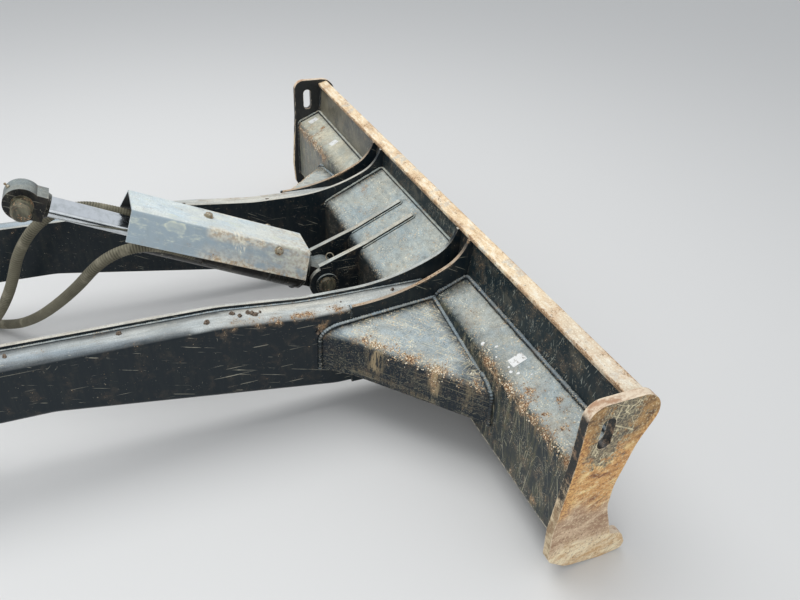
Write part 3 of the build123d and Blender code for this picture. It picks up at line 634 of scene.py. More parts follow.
def guard_enamel(tree, place):
    """Cylinder guard: pale blue-grey enamel, yellowed and rusty at its blade end, with dust and painted sky
    light on its top and painted shade on its downward-facing inside.
    """
    fold, foot = on_guard(0.0, *GUARD_FOLD), on_guard(0.0, *GUARD_FOOT)
    low_edge = on_guard(0.27, *GUARD_FOOT)
    cover = worn_cover(tree, 0.14, [(foot, low_edge, 0.034, 0.66), (fold, foot, 0.016, 0.60)])
    # the top is paler than the sides: dust and painted sky light on what faces up
    paint = use(tree, WEATHERED_PAINT, Cover=cover, Turn=ALONG_GUARD, Cross=(0, 0.9, 0),
                Paint=(0.325, 0.400, 0.445), Dust=(0.66, 0.72, 0.73), Dust_Low=0.66, Dust_High=0.86,
                Dust_Amount=1.0, Grime=0.10, Edge=(0.80, 0.78, 0.70), Edge_Amount=0.8, Scratches=0.35,
                Scratch=(0.56, 0.62, 0.64), Specks=0.35)
    yellow = worn_cover(tree, 0.0, [
        (fold, foot, 0.160, 0.95),
        (on_guard(0.03, 0.0600, 0.079), on_guard(0.12, 0.0600, 0.079), 0.020, 0.8),
        (on_guard(0.14, 0.0620, 0.076), on_guard(0.27, 0.0620, 0.076), 0.024, 1.4),
        (foot, low_edge, 0.045, 0.9),
    ])
    streaks = strokes(tree, place, ALONG_GUARD, 2.5, 60.0, 6.0, 0.7)
    yellow = times(tree, yellow, ease(tree, streaks, 0.32, 0.54))
    film = shade(tree, noise(tree, place, 110.0, 4.0), 0.40, 0.56, (0.54, 0.41, 0.26), (0.80, 0.74, 0.59))
    colour = mix(tree, times(tree, yellow, 0.8), paint["Colour"], film)
    run = strokes(tree, place, (0, 0.6, 0), 9.0, 150.0, 3.0, 0.6)
    band = use(tree, WORN_LINE, Start=on_guard(0.205, 0.045, GUARD_TOP), End=on_guard(0.198, 0.075, 0.058),
               Reach=0.022)["Mask"]
    drips = times(tree, ease(tree, run, 0.50, 0.58), ease(tree, band, 0.0, 0.5))
    colour = mix(tree, times(tree, drips, 0.8), colour, (0.82, 0.78, 0.64))
    oval = use(tree, WORN_LINE, Start=OVAL_START, End=OVAL_END, Reach=0.016)["Mask"]
    oval = calc(tree, "ADD", oval, by(tree, minus(tree, streaks, 0.52), 1.3))
    smear = spread(tree, ease(tree, streaks, 0.36, 0.60), 0.20, 1.0)
    ring = times(tree, ease(tree, oval, 0.0, 0.25), spread(tree, ease(tree, oval, 0.3, 0.6), 1.0, 0.45))
    colour = mix(tree, times(tree, ring, smear), colour, (0.62, 0.66, 0.56))
    # painted shade: near-black on what faces down inside the guard
    inside = use(tree, FACING, Direction=(0, 0, -1), Low=0.2, High=0.4)["Mask"]
    return mix(tree, inside, colour, (0.030, 0.034, 0.038)), paint["Roughness"], paint["Height"]


def board_back(tree, place, x, paint):
    """Mouldboard's back: dark enamel, more smeared with dust towards the far end."""
    smear = strokes(tree, place, (0, 0.5, 0), 2.2, 9.0, 8.0, 0.68)
    far = ease(tree, by(tree, x, -1.0), 0.30, 0.60)
    here = times(tree, times(tree, ease(tree, smear, 0.56, 0.66), 0.27), rest(tree, far))
    there = times(tree, times(tree, ease(tree, smear, 0.30, 0.62), 0.85), far)
    return mix(tree, calc(tree, "ADD", here, there), paint["Colour"], (0.215, 0.195, 0.140))


def board_front(tree, place, z):
    """Mouldboard's front: steel rubbed by the soil, rusty, with paint left along the top."""
    rubbed = strokes(tree, place, UPRIGHT, 12.0, 70.0, 5.0, 0.6)
    bare = shade(tree, rubbed, 0.35, 0.65, (0.24, 0.19, 0.15), (0.54, 0.50, 0.45))
    rust = use(tree, RUST, Cover=0.42)
    worn = mix(tree, times(tree, rust["Stain"], 1.2), bare, (0.34, 0.20, 0.11))
    worn = mix(tree, times(tree, rust["Mask"], 0.8), worn, rust["Colour"])
    soil = ease(tree, strokes(tree, place, UPRIGHT, 6.0, 42.0, 8.0, 0.72), 0.46, 0.64)
    worn = mix(tree, times(tree, soil, 0.50), worn, (0.30, 0.25, 0.20))
    height = spread(tree, ease(tree, z, -0.10, 0.19), -0.10, 0.11)
    level = plus(tree, strokes(tree, place, UPRIGHT, 5.0, 34.0, 9.0, 0.76), height)
    return shade(tree, level, 0.56, 0.61, worn, (0.024, 0.028, 0.030))


def board_enamel(tree, place):
    """Mouldboard: dark dusty enamel behind, soil-polished steel in front."""
    own = own_places(tree)
    paint = use(tree, WEATHERED_PAINT, Cover=0.20, Paint=(0.008, 0.018, 0.024), Grime=0.12, Scratches=0.50,
                Scratch=(0.50, 0.53, 0.46), Turn=DOWNWARD, Cross=(0, 0.6, 0), Specks=0.75, Dust_Amount=0.6)
    front = use(tree, FACING, Direction=(0, 1, 0), Low=0.2, High=0.4)["Mask"]
    colour = mix(tree, front, board_back(tree, place, own["X"], paint), board_front(tree, place, own["Z"]))
    return colour, paint["Roughness"], paint["Height"]


def rim_steel(tree, place):
    """Top bar of the blade: pale bare steel, orange rust and dark chips."""
    rubbed = strokes(tree, place, (0, 0, 0), 5.0, 110.0, 7.0, 0.7)
    pale = shade(tree, rubbed, 0.34, 0.48, (0.56, 0.38, 0.20), (0.80, 0.62, 0.39))
    pale = shade(tree, rubbed, 0.50, 0.60, pale, (0.88, 0.79, 0.61))
    grey = times(tree, ease(tree, noise(tree, place, 16.0, 5.0, 0.65), 0.53, 0.62), 0.7)
    outward = ease(tree, own_places(tree)["X"], 0.40, 0.85)
    pale = mix(tree, most(tree, grey, times(tree, outward, 0.45)), pale, (0.50, 0.49, 0.44))
    grain = noise(tree, place, 260.0, 3.0, 0.7)
    pale = mix(tree, times(tree, ease(tree, grain, 0.54, 0.62), 0.5), pale, (0.95, 0.89, 0.72))
    pale = mix(tree, less(tree, 0.5, ease(tree, grain, 0.36, 0.44)), pale, (0.50, 0.30, 0.14))
    crest = use(tree, FACING, Low=0.80, High=0.98)["Mask"]
    cover = worn_cover(tree, spread(tree, crest, 0.70, 0.34), [
        ((0.0, RIM_LOW.y, RIM_HIGH.z), (1.0, RIM_LOW.y, RIM_HIGH.z), 0.016, 0.66),
        ((0.0, RIM_HIGH.y, RIM_HIGH.z), (1.0, RIM_HIGH.y, RIM_HIGH.z), 0.015, 0.72),
    ])
    rust = use(tree, RUST, Cover=cover, Grain=150.0, Clump=22.0)
    colour = mix(tree, times(tree, rust["Stain"], 1.2), pale, (0.54, 0.32, 0.16))
    colour = mix(tree, times(tree, rust["Mask"], 0.7), colour, rust["Colour"])
    colour = shade(tree, noise(tree, place, 80.0, 5.0, 0.7), 0.66, 0.70, colour, (0.08, 0.06, 0.05))
    return colour, spread(tree, rust["Mask"], 0.45, 0.85), rust["Height"], 0.0008


def soiled_steel(tree, place, smear, down):
    """Bare steel of an end plate, from its rough top to its sandy foot, with grit and cracks."""
    brown = shade(tree, smear, 0.38, 0.50, (0.22, 0.090, 0.040), (0.68, 0.355, 0.125))
    brown = shade(tree, smear, 0.50, 0.60, brown, (0.93, 0.68, 0.32))
    dull = shade(tree, smear, 0.38, 0.62, (0.38, 0.230, 0.140), (0.68, 0.50, 0.335))
    sandy = shade(tree, smear, 0.38, 0.60, (0.62, 0.39, 0.19), (0.93, 0.80, 0.56))
    rough = shade(tree, smear, 0.40, 0.56, (0.13, 0.075, 0.038), (0.46, 0.27, 0.105))
    colour = shade(tree, down, -0.12, -0.06, rough, brown)
    colour = shade(tree, down, 0.02, 0.09, colour, dull)
    colour = shade(tree, down, 0.15, 0.21, colour, sandy)
    grit = noise(tree, place, 190.0, 4.0, 0.7)
    crack = strokes(tree, place, (0, -0.5, math.pi / 2), 6.0, 150.0, 4.0, 0.65)
    for mask, tone in (
            (times(tree, ease(tree, grit, 0.54, 0.64), 0.55), (0.93, 0.80, 0.52)),
            (less(tree, 0.65, ease(tree, grit, 0.36, 0.44)), (0.17, 0.090, 0.048)),
            (times(tree, ease(tree, crack, 0.60, 0.66), 0.7), (0.20, 0.11, 0.06)),
            (less(tree, 0.6, ease(tree, crack, 0.33, 0.39)), (0.94, 0.82, 0.55))):
        colour = mix(tree, mask, colour, tone)
    return colour, grit


def plate_edges(tree, smear, down):
    """Edges of an end plate: worn on top, dark behind and sandy towards the foot."""
    worn = shade(tree, smear, 0.38, 0.58, (0.42, 0.25, 0.15), (0.78, 0.66, 0.50))
    dark = shade(tree, smear, 0.50, 0.64, (0.020, 0.021, 0.020), (0.26, 0.17, 0.105))
    sandy = shade(tree, smear, 0.40, 0.60, (0.30, 0.20, 0.11), (0.68, 0.55, 0.36))
    dark = shade(tree, plus(tree, down, swing(tree, smear, 0.3)), -0.03, 0.07, dark, sandy)
    slot = use(tree, WORN_LINE, Start=(0.97, 1.20, 0.118), End=(0.97, 1.20, 0.148), Reach=0.03)["Mask"]
    top = less(tree, use(tree, FACING, Low=0.05, High=0.45)["Mask"], ease(tree, slot, 0.0, 0.1))
    return mix(tree, top, dark, worn)


def end_plate_steel(tree, place):
    """End plate: rusty worn steel outside, with paint left by its slot, on its edges and inside."""
    own = own_places(tree)
    down = plus(tree, by(tree, own["Z"], -1.0), swing(tree, noise(tree, place, 11.0, 4.0), 0.16))
    smear = strokes(tree, place, (0, -0.25, math.pi / 2), 2.2, 44.0, 9.0, 0.78)
    patch = noise(tree, place, 52.0, 9.0, 0.8)
    colour, grit = soiled_steel(tree, place, smear, down)

    kept = use(tree, WORN_LINE, Start=(END_HIGH.x, 1.230, 0.190), End=(END_HIGH.x, 1.205, 0.085),
               Reach=0.10)["Mask"]
    kept = ease(tree, plus(tree, by(tree, kept, 0.5), patch), 0.76, 0.86)
    paint = shade(tree, grit, 0.42, 0.60, (0.060, 0.062, 0.046), (0.30, 0.25, 0.15))
    colour = mix(tree, times(tree, kept, 0.9), colour, paint)
    cut = use(tree, SCRATCHES, Turn=(0, 0.5, math.pi / 2), Cross=(0, 1.3, 0), Size=240.0,
              Density=0.85)["Mask"]
    cut = times(tree, cut, spread(tree, kept, 0.35, 1.0))
    for size in (26.0, 43.0):
        loop = contour(tree, noise(tree, place, size, 1.0, 0.5, 0.6), 0.013)
        cut = most(tree, cut, times(tree, loop, kept))
    colour = mix(tree, cut, colour, mix(tree, kept, (0.26, 0.145, 0.075), (0.82, 0.72, 0.46)))

    outward, inward = (use(tree, FACING, Direction=(side, 0, 0), Low=0.3, High=0.5)["Mask"]
                       for side in (1, -1))
    flat = calc(tree, "ADD", outward, inward)
    outer = ease(tree, sums(tree, "ABSOLUTE", own["X"]), END_LOW.x + 0.001, END_LOW.x + 0.006)
    colour = mix(tree, flat, plate_edges(tree, smear, down), colour)
    inner = shade(tree, patch, 0.62, 0.70, (0.012, 0.014, 0.015), (0.16, 0.13, 0.09))
    colour = mix(tree, times(tree, flat, rest(tree, outer)), colour, inner)

    strips = worn_cover(tree, 0.0, [
        ((END_HIGH.x, END_LOW.y + 0.006, 0.12), (END_HIGH.x, END_LOW.y + 0.002, -0.06), 0.045, 1.0),
        ((END_HIGH.x, 1.325, 0.150), (END_HIGH.x, 1.300, 0.095), 0.035, 1.0),
    ])
    rusty = ease(tree, plus(tree, strips, minus(tree, smear, 0.5)), 0.15, 0.75)
    rusty = times(tree, times(tree, rusty, 0.8), times(tree, flat, outer))
    orange = shade(tree, grit, 0.38, 0.60, (0.34, 0.135, 0.050), (0.82, 0.47, 0.16))
    colour = mix(tree, rusty, colour, orange)
    edge = use(tree, EDGE_WEAR, Width=0.004, Amount=1.0)["Mask"]
    colour = mix(tree, edge, colour, (0.84, 0.70, 0.50))
    return colour, spread(tree, kept, 0.74, 0.42), minus(tree, patch, by(tree, cut, 0.3)), 0.0009


def cutting_steel(tree, place):
    """Cutting edge: ground bright by the soil, brown where it is not."""
    rubbed = strokes(tree, place, UPRIGHT, 8.0, 60.0, 6.0)
    bright = shade(tree, rubbed, 0.35, 0.65, (0.17, 0.12, 0.085), (0.50, 0.44, 0.38))
    colour, rust = rusted(tree, bright, Cover=0.5)
    return colour, 0.5, rust["Height"], 0.0006, spread(tree, rust["Mask"], 0.6, 0.0)


def pin_steel(tree, place):
    """Pins: dark old grease on the faces with paler upright streaks that also stand as a painted highlight,
    a rusty rim.
    """
    # paler upright streaks: old grease, and a painted highlight
    wiped_and_painted_light = strokes(tree, place, UPRIGHT, 3.0, 60.0, 5.0, 0.6)
    grease = shade(tree, wiped_and_painted_light, 0.35, 0.68, (0.030, 0.029, 0.018), (0.17, 0.16, 0.105))
    colour, rust = rusted(tree, grease, Cover=0.42, Grain=200.0, Clump=60.0)
    edge = use(tree, EDGE_WEAR, Width=0.005)["Mask"]
    colour = mix(tree, edge, colour, (0.36, 0.20, 0.11))
    return colour, spread(tree, rust["Mask"], 0.34, 0.8), rust["Height"], 0.0004


def rod_chrome(tree, place):
    haze = noise(tree, place, 60.0, 4.0)
    colour = shade(tree, haze, 0.4, 0.8, (0.82, 0.86, 0.90), (0.62, 0.66, 0.68))
    return colour, spread(tree, haze, 0.05, 0.26), None, 0.0, 1.0


def zinc_steel(tree, place):
    """Bolts and fittings: yellowish zinc, brown where it has gone."""
    zinc = mix(tree, noise(tree, place, 90.0, 4.0), (0.20, 0.17, 0.11), (0.56, 0.51, 0.40))
    colour, rust = rusted(tree, zinc, Cover=0.5, Grain=260.0, Clump=90.0)
    return colour, 0.46, rust["Height"], 0.0003, spread(tree, rust["Mask"], 0.7, 0.0)


def dark_steel(tree, place):
    """Hose ends and clip: blackened steel, oily and dusty; on the near hose's end the black also stands as
    painted shade under the guard.
    """
    up = use(tree, FACING, Low=0.4, High=1.0)["Mask"]
    film = times(tree, up, ease(tree, noise(tree, place, 60.0, 5.0), 0.35, 0.6))
    oily = mix(tree, film, (0.020, 0.019, 0.016), (0.24, 0.22, 0.17))
    colour, rust = rusted(tree, oily, Cover=0.25, Grain=260.0, Clump=70.0)
    return colour, spread(tree, film, 0.36, 0.75), rust["Height"], 0.0003


def hose_skin(tree, place):
    """Black rubber near the cylinder, which on the near hose also stands as painted shade under the guard;
    khaki woven sleeve with dusty ribs beyond.
    """
    rib, sleeved = (add(tree, "ShaderNodeAttribute", attribute_name=name).outputs["Fac"]
                    for name in ("rib", "sleeved"))
    base = mix(tree, noise(tree, place, 55.0, 5.0, 0.65), (0.105, 0.095, 0.062), (0.22, 0.205, 0.142))
    wound = ease(tree, noise(tree, place, 9.0, 3.0), 0.46, 0.58)
    groove = ease(tree, minus(tree, 1.0, rib), 0.1, 1.0)
    khaki = mix(tree, times(tree, groove, spread(tree, wound, 0.35, 0.9)), base, (0.055, 0.050, 0.034))
    dry = ease(tree, noise(tree, place, 20.0, 5.0, 0.6), 0.52, 0.70)
    khaki = mix(tree, times(tree, dry, 0.55), khaki, (0.34, 0.31, 0.23))
    dusty = noise(tree, place, 40.0, 5.0)
    rubber = shade(tree, dusty, 0.4, 0.7, (0.014, 0.013, 0.012), (0.075, 0.065, 0.05))
    weave = by(tree, noise(tree, place, 900.0, 2.0), sleeved)
    return mix(tree, sleeved, rubber, khaki), spread(tree, sleeved, 0.48, 0.82), weave, 0.0003


def dried_mud(tree, place):
    grain = noise(tree, place, 240.0, 5.0, 0.7)
    return shade(tree, grain, 0.3, 0.7, (0.020, 0.015, 0.012), (0.24, 0.18, 0.13)), 0.9, grain, 0.0008


def rust_crust(tree, place):
    """Crumbly rust and dried soil on the folds."""
    tone = noise(tree, place, 330.0, 5.0, 0.7)
    colour = shade(tree, tone, 0.38, 0.50, (0.20, 0.105, 0.052), (0.66, 0.44, 0.23))
    colour = shade(tree, tone, 0.47, 0.55, colour, (0.92, 0.86, 0.70))
    return colour, 0.9, noise(tree, place, 500.0, 3.0), 0.0005


def blank_label(tree, place):
    soiled = ease(tree, noise(tree, place, 120.0, 6.0, 0.75), 0.52, 0.64)
    return mix(tree, soiled, (0.78, 0.79, 0.77), (0.33, 0.31, 0.27)), 0.5, soiled, 0.0001


def pale_floor(tree, place):
    return (0.70, 0.70, 0.69), 0.9


GUARD_PAINT = new_material(guard_enamel)
BOARD_PAINT = new_material(board_enamel, gloss=0.3)
RIM_STEEL = new_material(rim_steel)
PLATE_STEEL = new_material(end_plate_steel)
CUTTING_STEEL = new_material(cutting_steel)
PIN_STEEL = new_material(pin_steel)
CHROME = new_material(rod_chrome)
ZINC = new_material(zinc_steel)
DARK_STEEL = new_material(dark_steel)
HOSE_SKIN = new_material(hose_skin)
MUD = new_material(dried_mud)
CRUST = new_material(rust_crust)
LABEL = new_material(blank_label)

FINISHES = [
    # material, how the names of its nodes start; the first row that fits holds
    (PIN_STEEL, ("arm_pin", "ear_pin", "machine_pin")),
    (INNER_PAINT, "arm_inner"),
    (RISER_PAINT, "arm_riser"),
    (ARM_PAINT, "arm_"),
    (BOX_PAINT, "side_box"),
    (CENTRE_PAINT, ("centre_box", "ear_collar")),
    (EAR_PAINT, "ear_plate"),
    (GUSSET_PAINT, "gusset"),
    (BOARD_PAINT, "mouldboard"),
    (RIM_STEEL, "top_rim"),
    (PLATE_STEEL, "end_plate"),
    (CUTTING_STEEL, "cutting_edge"),
    (GUARD_PAINT, "cylinder_guard"),
    (CYLINDER_PAINT, ("guard_bracket", "cylinder_", "rod_eye")),
    (CHROME, "rod"),
    (ZINC, "hose_fitting"),
    (HOSE_SKIN, ("hose_near", "hose_far")),
    (DARK_STEEL, ""),
]
for node_name, cad_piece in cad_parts.items():
    finish = next(material for material, starts in FINISHES if node_name.startswith(starts))
    for material_slot in cad_piece.material_slots:
        material_slot.material = finish

# Geometry Nodes helpers


def linked(name, data):
    """New object in the scene."""
    item = bpy.data.objects.new(name, data)
    bpy.context.collection.objects.link(item)
    return item


def new_geometry(name, inputs):
    """Geometry tree with a geometry input, more inputs as (name, kind, value) and one output."""
    return new_group(name, [("Geometry", "geometry", None), *inputs], [("Geometry", "geometry")],
                     "GeometryNodeTree")


def close_geometry(tree, geometry, material, result):
    """Every tree ends in real geometry with its material set."""
    whole = output(tree, "GeometryNodeRealizeInstances", {0: geometry})
    painted = output(tree, "GeometryNodeSetMaterial", {"Geometry": whole, "Material": material})
    tree.links.new(painted, result["Geometry"])


def placed(mesh, name, body):
    piece = linked(name, mesh)
    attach(piece, body)
    return piece


def grown(source, tree, name, body, slot, **values):
    """Plain mesh piece from a source object run through a geometry tree."""
    modifier = source.modifiers.new("Shape", "NODES")
    modifier.node_group = tree
    for item in tree.interface.items_tree:
        key = item.name.replace(" ", "_")
        if item.in_out == "INPUT" and key in values:
            modifier[item.identifier] = values[key]
    bpy.context.view_layer.update()
    shaped = source.evaluated_get(bpy.context.evaluated_depsgraph_get())
    mesh = bpy.data.meshes.new_from_object(shaped)
    bpy.data.objects.remove(source)
    return placed(mesh, name, body)


def curve_object(routes, kind="POLY"):
    """Curve object with one spline for each route: straight runs, or NURBS that the route leads."""
    curve = bpy.data.curves.new("routes", "CURVE")
    curve.dimensions = "3D"
    curve.resolution_u = 24
    for route in routes:
        spline = curve.splines.new(kind)
        spline.points.add(len(route) - 1)
        for point, place in zip(spline.points, route):
            point.co = (*place, 1)
        spline.order_u = 3
        spline.use_endpoint_u = True
    return linked("routes", curve)


def points_object(places, aims=()):
    """Loose points, each with the direction that its piece faces where that matters."""
    mesh = bpy.data.meshes.new("points")
    mesh.from_pydata([tuple(place) for place in places], [], [])
    if aims:
        aim = mesh.attributes.new("aim", "FLOAT_VECTOR", "POINT")
        for item, direction in zip(aim.data, aims):
            item.vector = direction
    return linked("points", mesh)


def make_ripple_tube():
    """Tube along curves whose radius ripples evenly: weld beads and ribbed hose sleeves."""
    tree, given, result = new_geometry("Ripple Tube", [
        ("Radius", "value", 0.005),
        ("Pitch", "value", 0.007),
        ("Depth", "value", 0.12),
        ("Steps", "value", 4.0),
        ("Sides", "count", 8),
        ("Sleeve Start", "value", 0.0),
        ("Uneven", "value", 0.0),
        ("Material", "material", None),
    ])
    step = sums(tree, "DIVIDE", given["Pitch"], given["Steps"])
    even = output(tree, "GeometryNodeResampleCurve", {"Curve": given["Geometry"], "Length": step},
                  mode="LENGTH")
    along = add(tree, "GeometryNodeSplineParameter").outputs["Length"]
    beyond = minus(tree, along, given["Sleeve Start"])
    sleeved = output(tree, "ShaderNodeMapRange", {0: beyond, 1: 0.0, 2: 0.002})
    wave = sums(tree, "COSINE", by(tree, sums(tree, "DIVIDE", along, given["Pitch"]), 2 * math.pi))
    dent = by(tree, minus(tree, wave, 1.0), given["Depth"])
    thin = by(tree, minus(tree, sleeved, 1.0), given["Depth"])
    full = plus(tree, by(tree, dent, sleeved), plus(tree, thin, 1.0))
    place = output(tree, "GeometryNodeInputPosition")
    lump = output(tree, "ShaderNodeTexNoise", {"Vector": place, "Scale": 70.0, "Detail": 3.0})
    swell = swing(tree, lump, given["Uneven"])
    radius = by(tree, plus(tree, full, swell), given["Radius"])
    high = output(tree, "ShaderNodeMapRange", {0: wave, 1: -1.0, 2: 1.0})
    marked = even
    for name, value in (("rib", high), ("sleeved", sleeved)):
        marked = output(tree, "GeometryNodeStoreNamedAttribute",
                        {"Geometry": marked, "Name": name, "Value": value}, domain="POINT")
    ring = output(tree, "GeometryNodeCurvePrimitiveCircle", {"Resolution": given["Sides"], "Radius": 1.0})
    tube = output(tree, "GeometryNodeCurveToMesh",
                  {"Curve": marked, "Profile Curve": ring, "Scale": radius, "Fill Caps": True})
    smooth = output(tree, "GeometryNodeSetShadeSmooth", {0: tube})
    close_geometry(tree, smooth, given["Material"], result)
    return tree


def make_bolts():
    """Hexagon bolts on washers, one at each point, facing along the point's aim."""
    tree, given, result = new_geometry("Hex Bolts", [
        ("Head Radius", "value", 0.0098),
        ("Head Height", "value", 0.0066),
        ("Washer Radius", "value", 0.0125),
        ("Washer Height", "value", 0.002),
        ("Material", "material", None),
    ])
    parts = add(tree, "GeometryNodeJoinGeometry")
    crown = by(tree, given["Head Height"], 0.2)
    rows = [
        # corners, radius below, radius above, height, how far up
        (24, given["Washer Radius"], given["Washer Radius"], given["Washer Height"], 0.0),
        (6, given["Head Radius"], given["Head Radius"], given["Head Height"], given["Washer Height"]),
        (6, given["Head Radius"], by(tree, given["Head Radius"], 0.82), crown,
         plus(tree, given["Washer Height"], given["Head Height"])),
    ]
    for corners, below, above, height, lift in rows:
        solid = output(tree, "GeometryNodeMeshCone", {
            "Vertices": corners, "Radius Bottom": below, "Radius Top": above, "Depth": height})
        raised = output(tree, "ShaderNodeCombineXYZ", {2: lift})
        moved = output(tree, "GeometryNodeTransform", {"Geometry": solid, "Translation": raised})
        tree.links.new(moved, parts.inputs[0])
    aim = output(tree, "GeometryNodeInputNamedAttribute", {"Name": "aim"}, data_type="FLOAT_VECTOR")
    turn = output(tree, "FunctionNodeAlignRotationToVector", {"Vector": aim}, axis="Z")
    points = output(tree, "GeometryNodeMeshToPoints", {"Mesh": given["Geometry"]})
    each = output(tree, "GeometryNodeInstanceOnPoints",
                  {"Points": points, "Instance": parts.outputs[0], "Rotation": turn})
    close_geometry(tree, each, given["Material"], result)
    return tree


def make_clods():
    """Lumps of dried mud, one at each point, of random size and turn."""
    tree, given, result = new_geometry("Mud Clods", [
        ("Least", "value", 0.002),
        ("Most", "value", 0.0065),
        ("Roughness", "value", 0.012),
        ("Fineness", "count", 3),
        ("Lump Scale", "value", 160.0),
        ("Seed", "count", 3),
        ("Material", "material", None),
    ])
    ball = output(tree, "GeometryNodeMeshIcoSphere", {"Radius": 1.0, "Subdivisions": given["Fineness"]})
    points = output(tree, "GeometryNodeMeshToPoints", {"Mesh": given["Geometry"]})
    sizes = add(tree, "FunctionNodeRandomValue",
                {2: given["Least"], 3: given["Most"], "Seed": given["Seed"]}, data_type="FLOAT").outputs[1]
    turns = output(tree, "FunctionNodeRandomValue",
                   {0: (0, 0, 0), 1: (6.28, 6.28, 6.28), "Seed": given["Seed"]}, data_type="FLOAT_VECTOR")
    each = output(tree, "GeometryNodeInstanceOnPoints",
                  {"Points": points, "Instance": ball, "Rotation": turns, "Scale": sizes})
    whole = output(tree, "GeometryNodeRealizeInstances", {0: each})
    place = output(tree, "GeometryNodeInputPosition")
    lump = output(tree, "ShaderNodeTexNoise",
                  {"Vector": place, "Scale": given["Lump Scale"], "Detail": 3.0})
    normal = output(tree, "GeometryNodeInputNormal")
    push = scaled(tree, normal, swing(tree, lump, given["Roughness"]))
    shoved = output(tree, "GeometryNodeSetPosition", {"Geometry": whole, "Offset": push})
    close_geometry(tree, shoved, given["Material"], result)
    return tree


RIPPLE_TUBE = make_ripple_tube()
HEX_BOLTS = make_bolts()
MUD_CLODS = make_clods()

# Hoses: their routes are those of the solids, in metres

HOSE_RADIUS = 0.014
HOSES = {
    # side: (length of black rubber before the sleeve, on the near hose partly painted shade under the
    # guard, route)
    "near": (0.20, [
        (0.077, 0.7897, 0.0181), (0.077, 0.6817, 0.0704), (0.076, 0.590, 0.122), (0.078, 0.524, 0.154),
        (0.073, 0.453, 0.154), (0.065, 0.389, 0.123), (0.034, 0.321, 0.042), (-0.069, 0.236, -0.071),
        (-0.171, 0.172, -0.157), (-0.262, 0.109, -0.222), (-0.329, 0.038, -0.249), (-0.385, -0.070, -0.245),
    ]),
    "far": (0.03, [
        (-0.077, 0.5089, 0.1541), (-0.077, 0.4441, 0.1855), (-0.104, 0.363, 0.202), (-0.111, 0.271, 0.176),
        (-0.121, 0.197, 0.090), (-0.142, 0.153, -0.025), (-0.178, 0.093, -0.130), (-0.234, 0.026, -0.212),
        (-0.300, -0.062, -0.249), (-0.335, -0.172, -0.245),
    ]),
}


def lay_hose(side, bare, route):
    line = curve_object([route], "NURBS")
    bpy.context.view_layer.update()
    thread = bpy.data.meshes.new_from_object(line.evaluated_get(bpy.context.evaluated_depsgraph_get()))
    # the black rubber before the sleeve also stands as painted shade under the guard
    hose = grown(line, RIPPLE_TUBE, "sleeved_hose_" + side, "barrel", "hose_sleeve", Radius=HOSE_RADIUS,
                 Pitch=0.0065, Depth=0.03, Steps=6.0, Sides=20, Sleeve_Start=bare, Material=HOSE_SKIN)
    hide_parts("hose_" + side)


for hose_side, (dark_rubber_and_shade_length, hose_route) in HOSES.items():
    lay_hose(hose_side, dark_rubber_and_shade_length, hose_route)

# Weld beads

OFF = 0.0030                     # how far a bead's middle stands out of the corner it fills
SAME_PLANE = 0.0004              # how near a corner lies to a plane that it counts as on
CROWN_DEPTH = 0.14               # how far below a crown its outline is followed
BOX_FOOT = -0.17
GUSSET_FOOT = -0.112
BOSS_SEAM = 0.0515
CAP_SEAM = 0.083                 # from the clevis pin along the cylinder
CAP_SEAM_RADIUS = 0.0562


def crown_line(node, x):
    """Top outline of a CAD node in the plane at x, from its back corner up to its highest point."""
    points = sorted({(round(v.co.y, 5), round(v.co.z, 5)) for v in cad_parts[node].data.vertices
                     if abs(v.co.x - x) < SAME_PLANE})
    top = max(points, key=lambda point: point[1])
    line = []
    for y, z in [point for point in points if point[0] <= top[0]]:
        while len(line) > 1 and ((line[-1][0] - line[-2][0]) * (z - line[-2][1])
                                 >= (line[-1][1] - line[-2][1]) * (y - line[-2][0])):
            line.pop()
        line.append((y, z))
    return [Vector((x, y, z)) for y, z in line if z > top[1] - CROWN_DEPTH]


def shifted(route, x=0.0, y=0.0, z=0.0):
    return [point + Vector((x, y, z)) for point in route]


def mirrored(route):
    return [Vector((-point.x, point.y, point.z)) for point in route]


def both_sides(routes):
    return routes + [mirrored(route) for route in routes]


def circle(centre, first, second, radius, steps):
    """Closed round route that starts towards the first direction and turns to the second."""
    angles = [2 * math.pi * index / steps for index in range(steps + 1)]
    return [centre + (first * math.cos(a) + second * math.sin(a)) * radius for a in angles]


def rounded(route, radius, steps=5):
    """A route with its corners rounded."""
    smooth = [route[0]]
    for before, corner, after in zip(route, route[1:], route[2:]):
        a, b = (corner + (end - corner).normalized() * min(radius, (end - corner).length * 0.45)
                for end in (before, after))
        for index in range(steps + 1):
            t = index / steps
            smooth.append(a.lerp(corner, t).lerp(corner.lerp(b, t), t))
    return smooth + [route[-1]]


BOX_LINE = crown_line("side_box_right", BOX_LOW.x)
BOX_END_LINE = crown_line("side_box_right", BOX_HIGH.x)
CENTRE_LINE = crown_line("centre_box", CENTRE_HIGH.x)
GUSSET_LINE = crown_line("gusset_right", ARM_OUTSIDE)


def box_welds():
    """Beads round each side box: along the riser, the mouldboard and the end plate."""
    inner = shifted(BOX_LINE, x=OFF, z=OFF * 0.6)
    outer = shifted(BOX_END_LINE, x=-OFF, z=OFF * 0.6)
    inner[-1] += Vector((0, -OFF, 0))
    outer[-1] += Vector((0, -OFF, 0))
    foot = Vector((BOX_HIGH.x - OFF, BOX_LOW.y - OFF * 0.6, BOX_FOOT))
    return both_sides([rounded(inner + outer[::-1], 0.012) + [foot]])


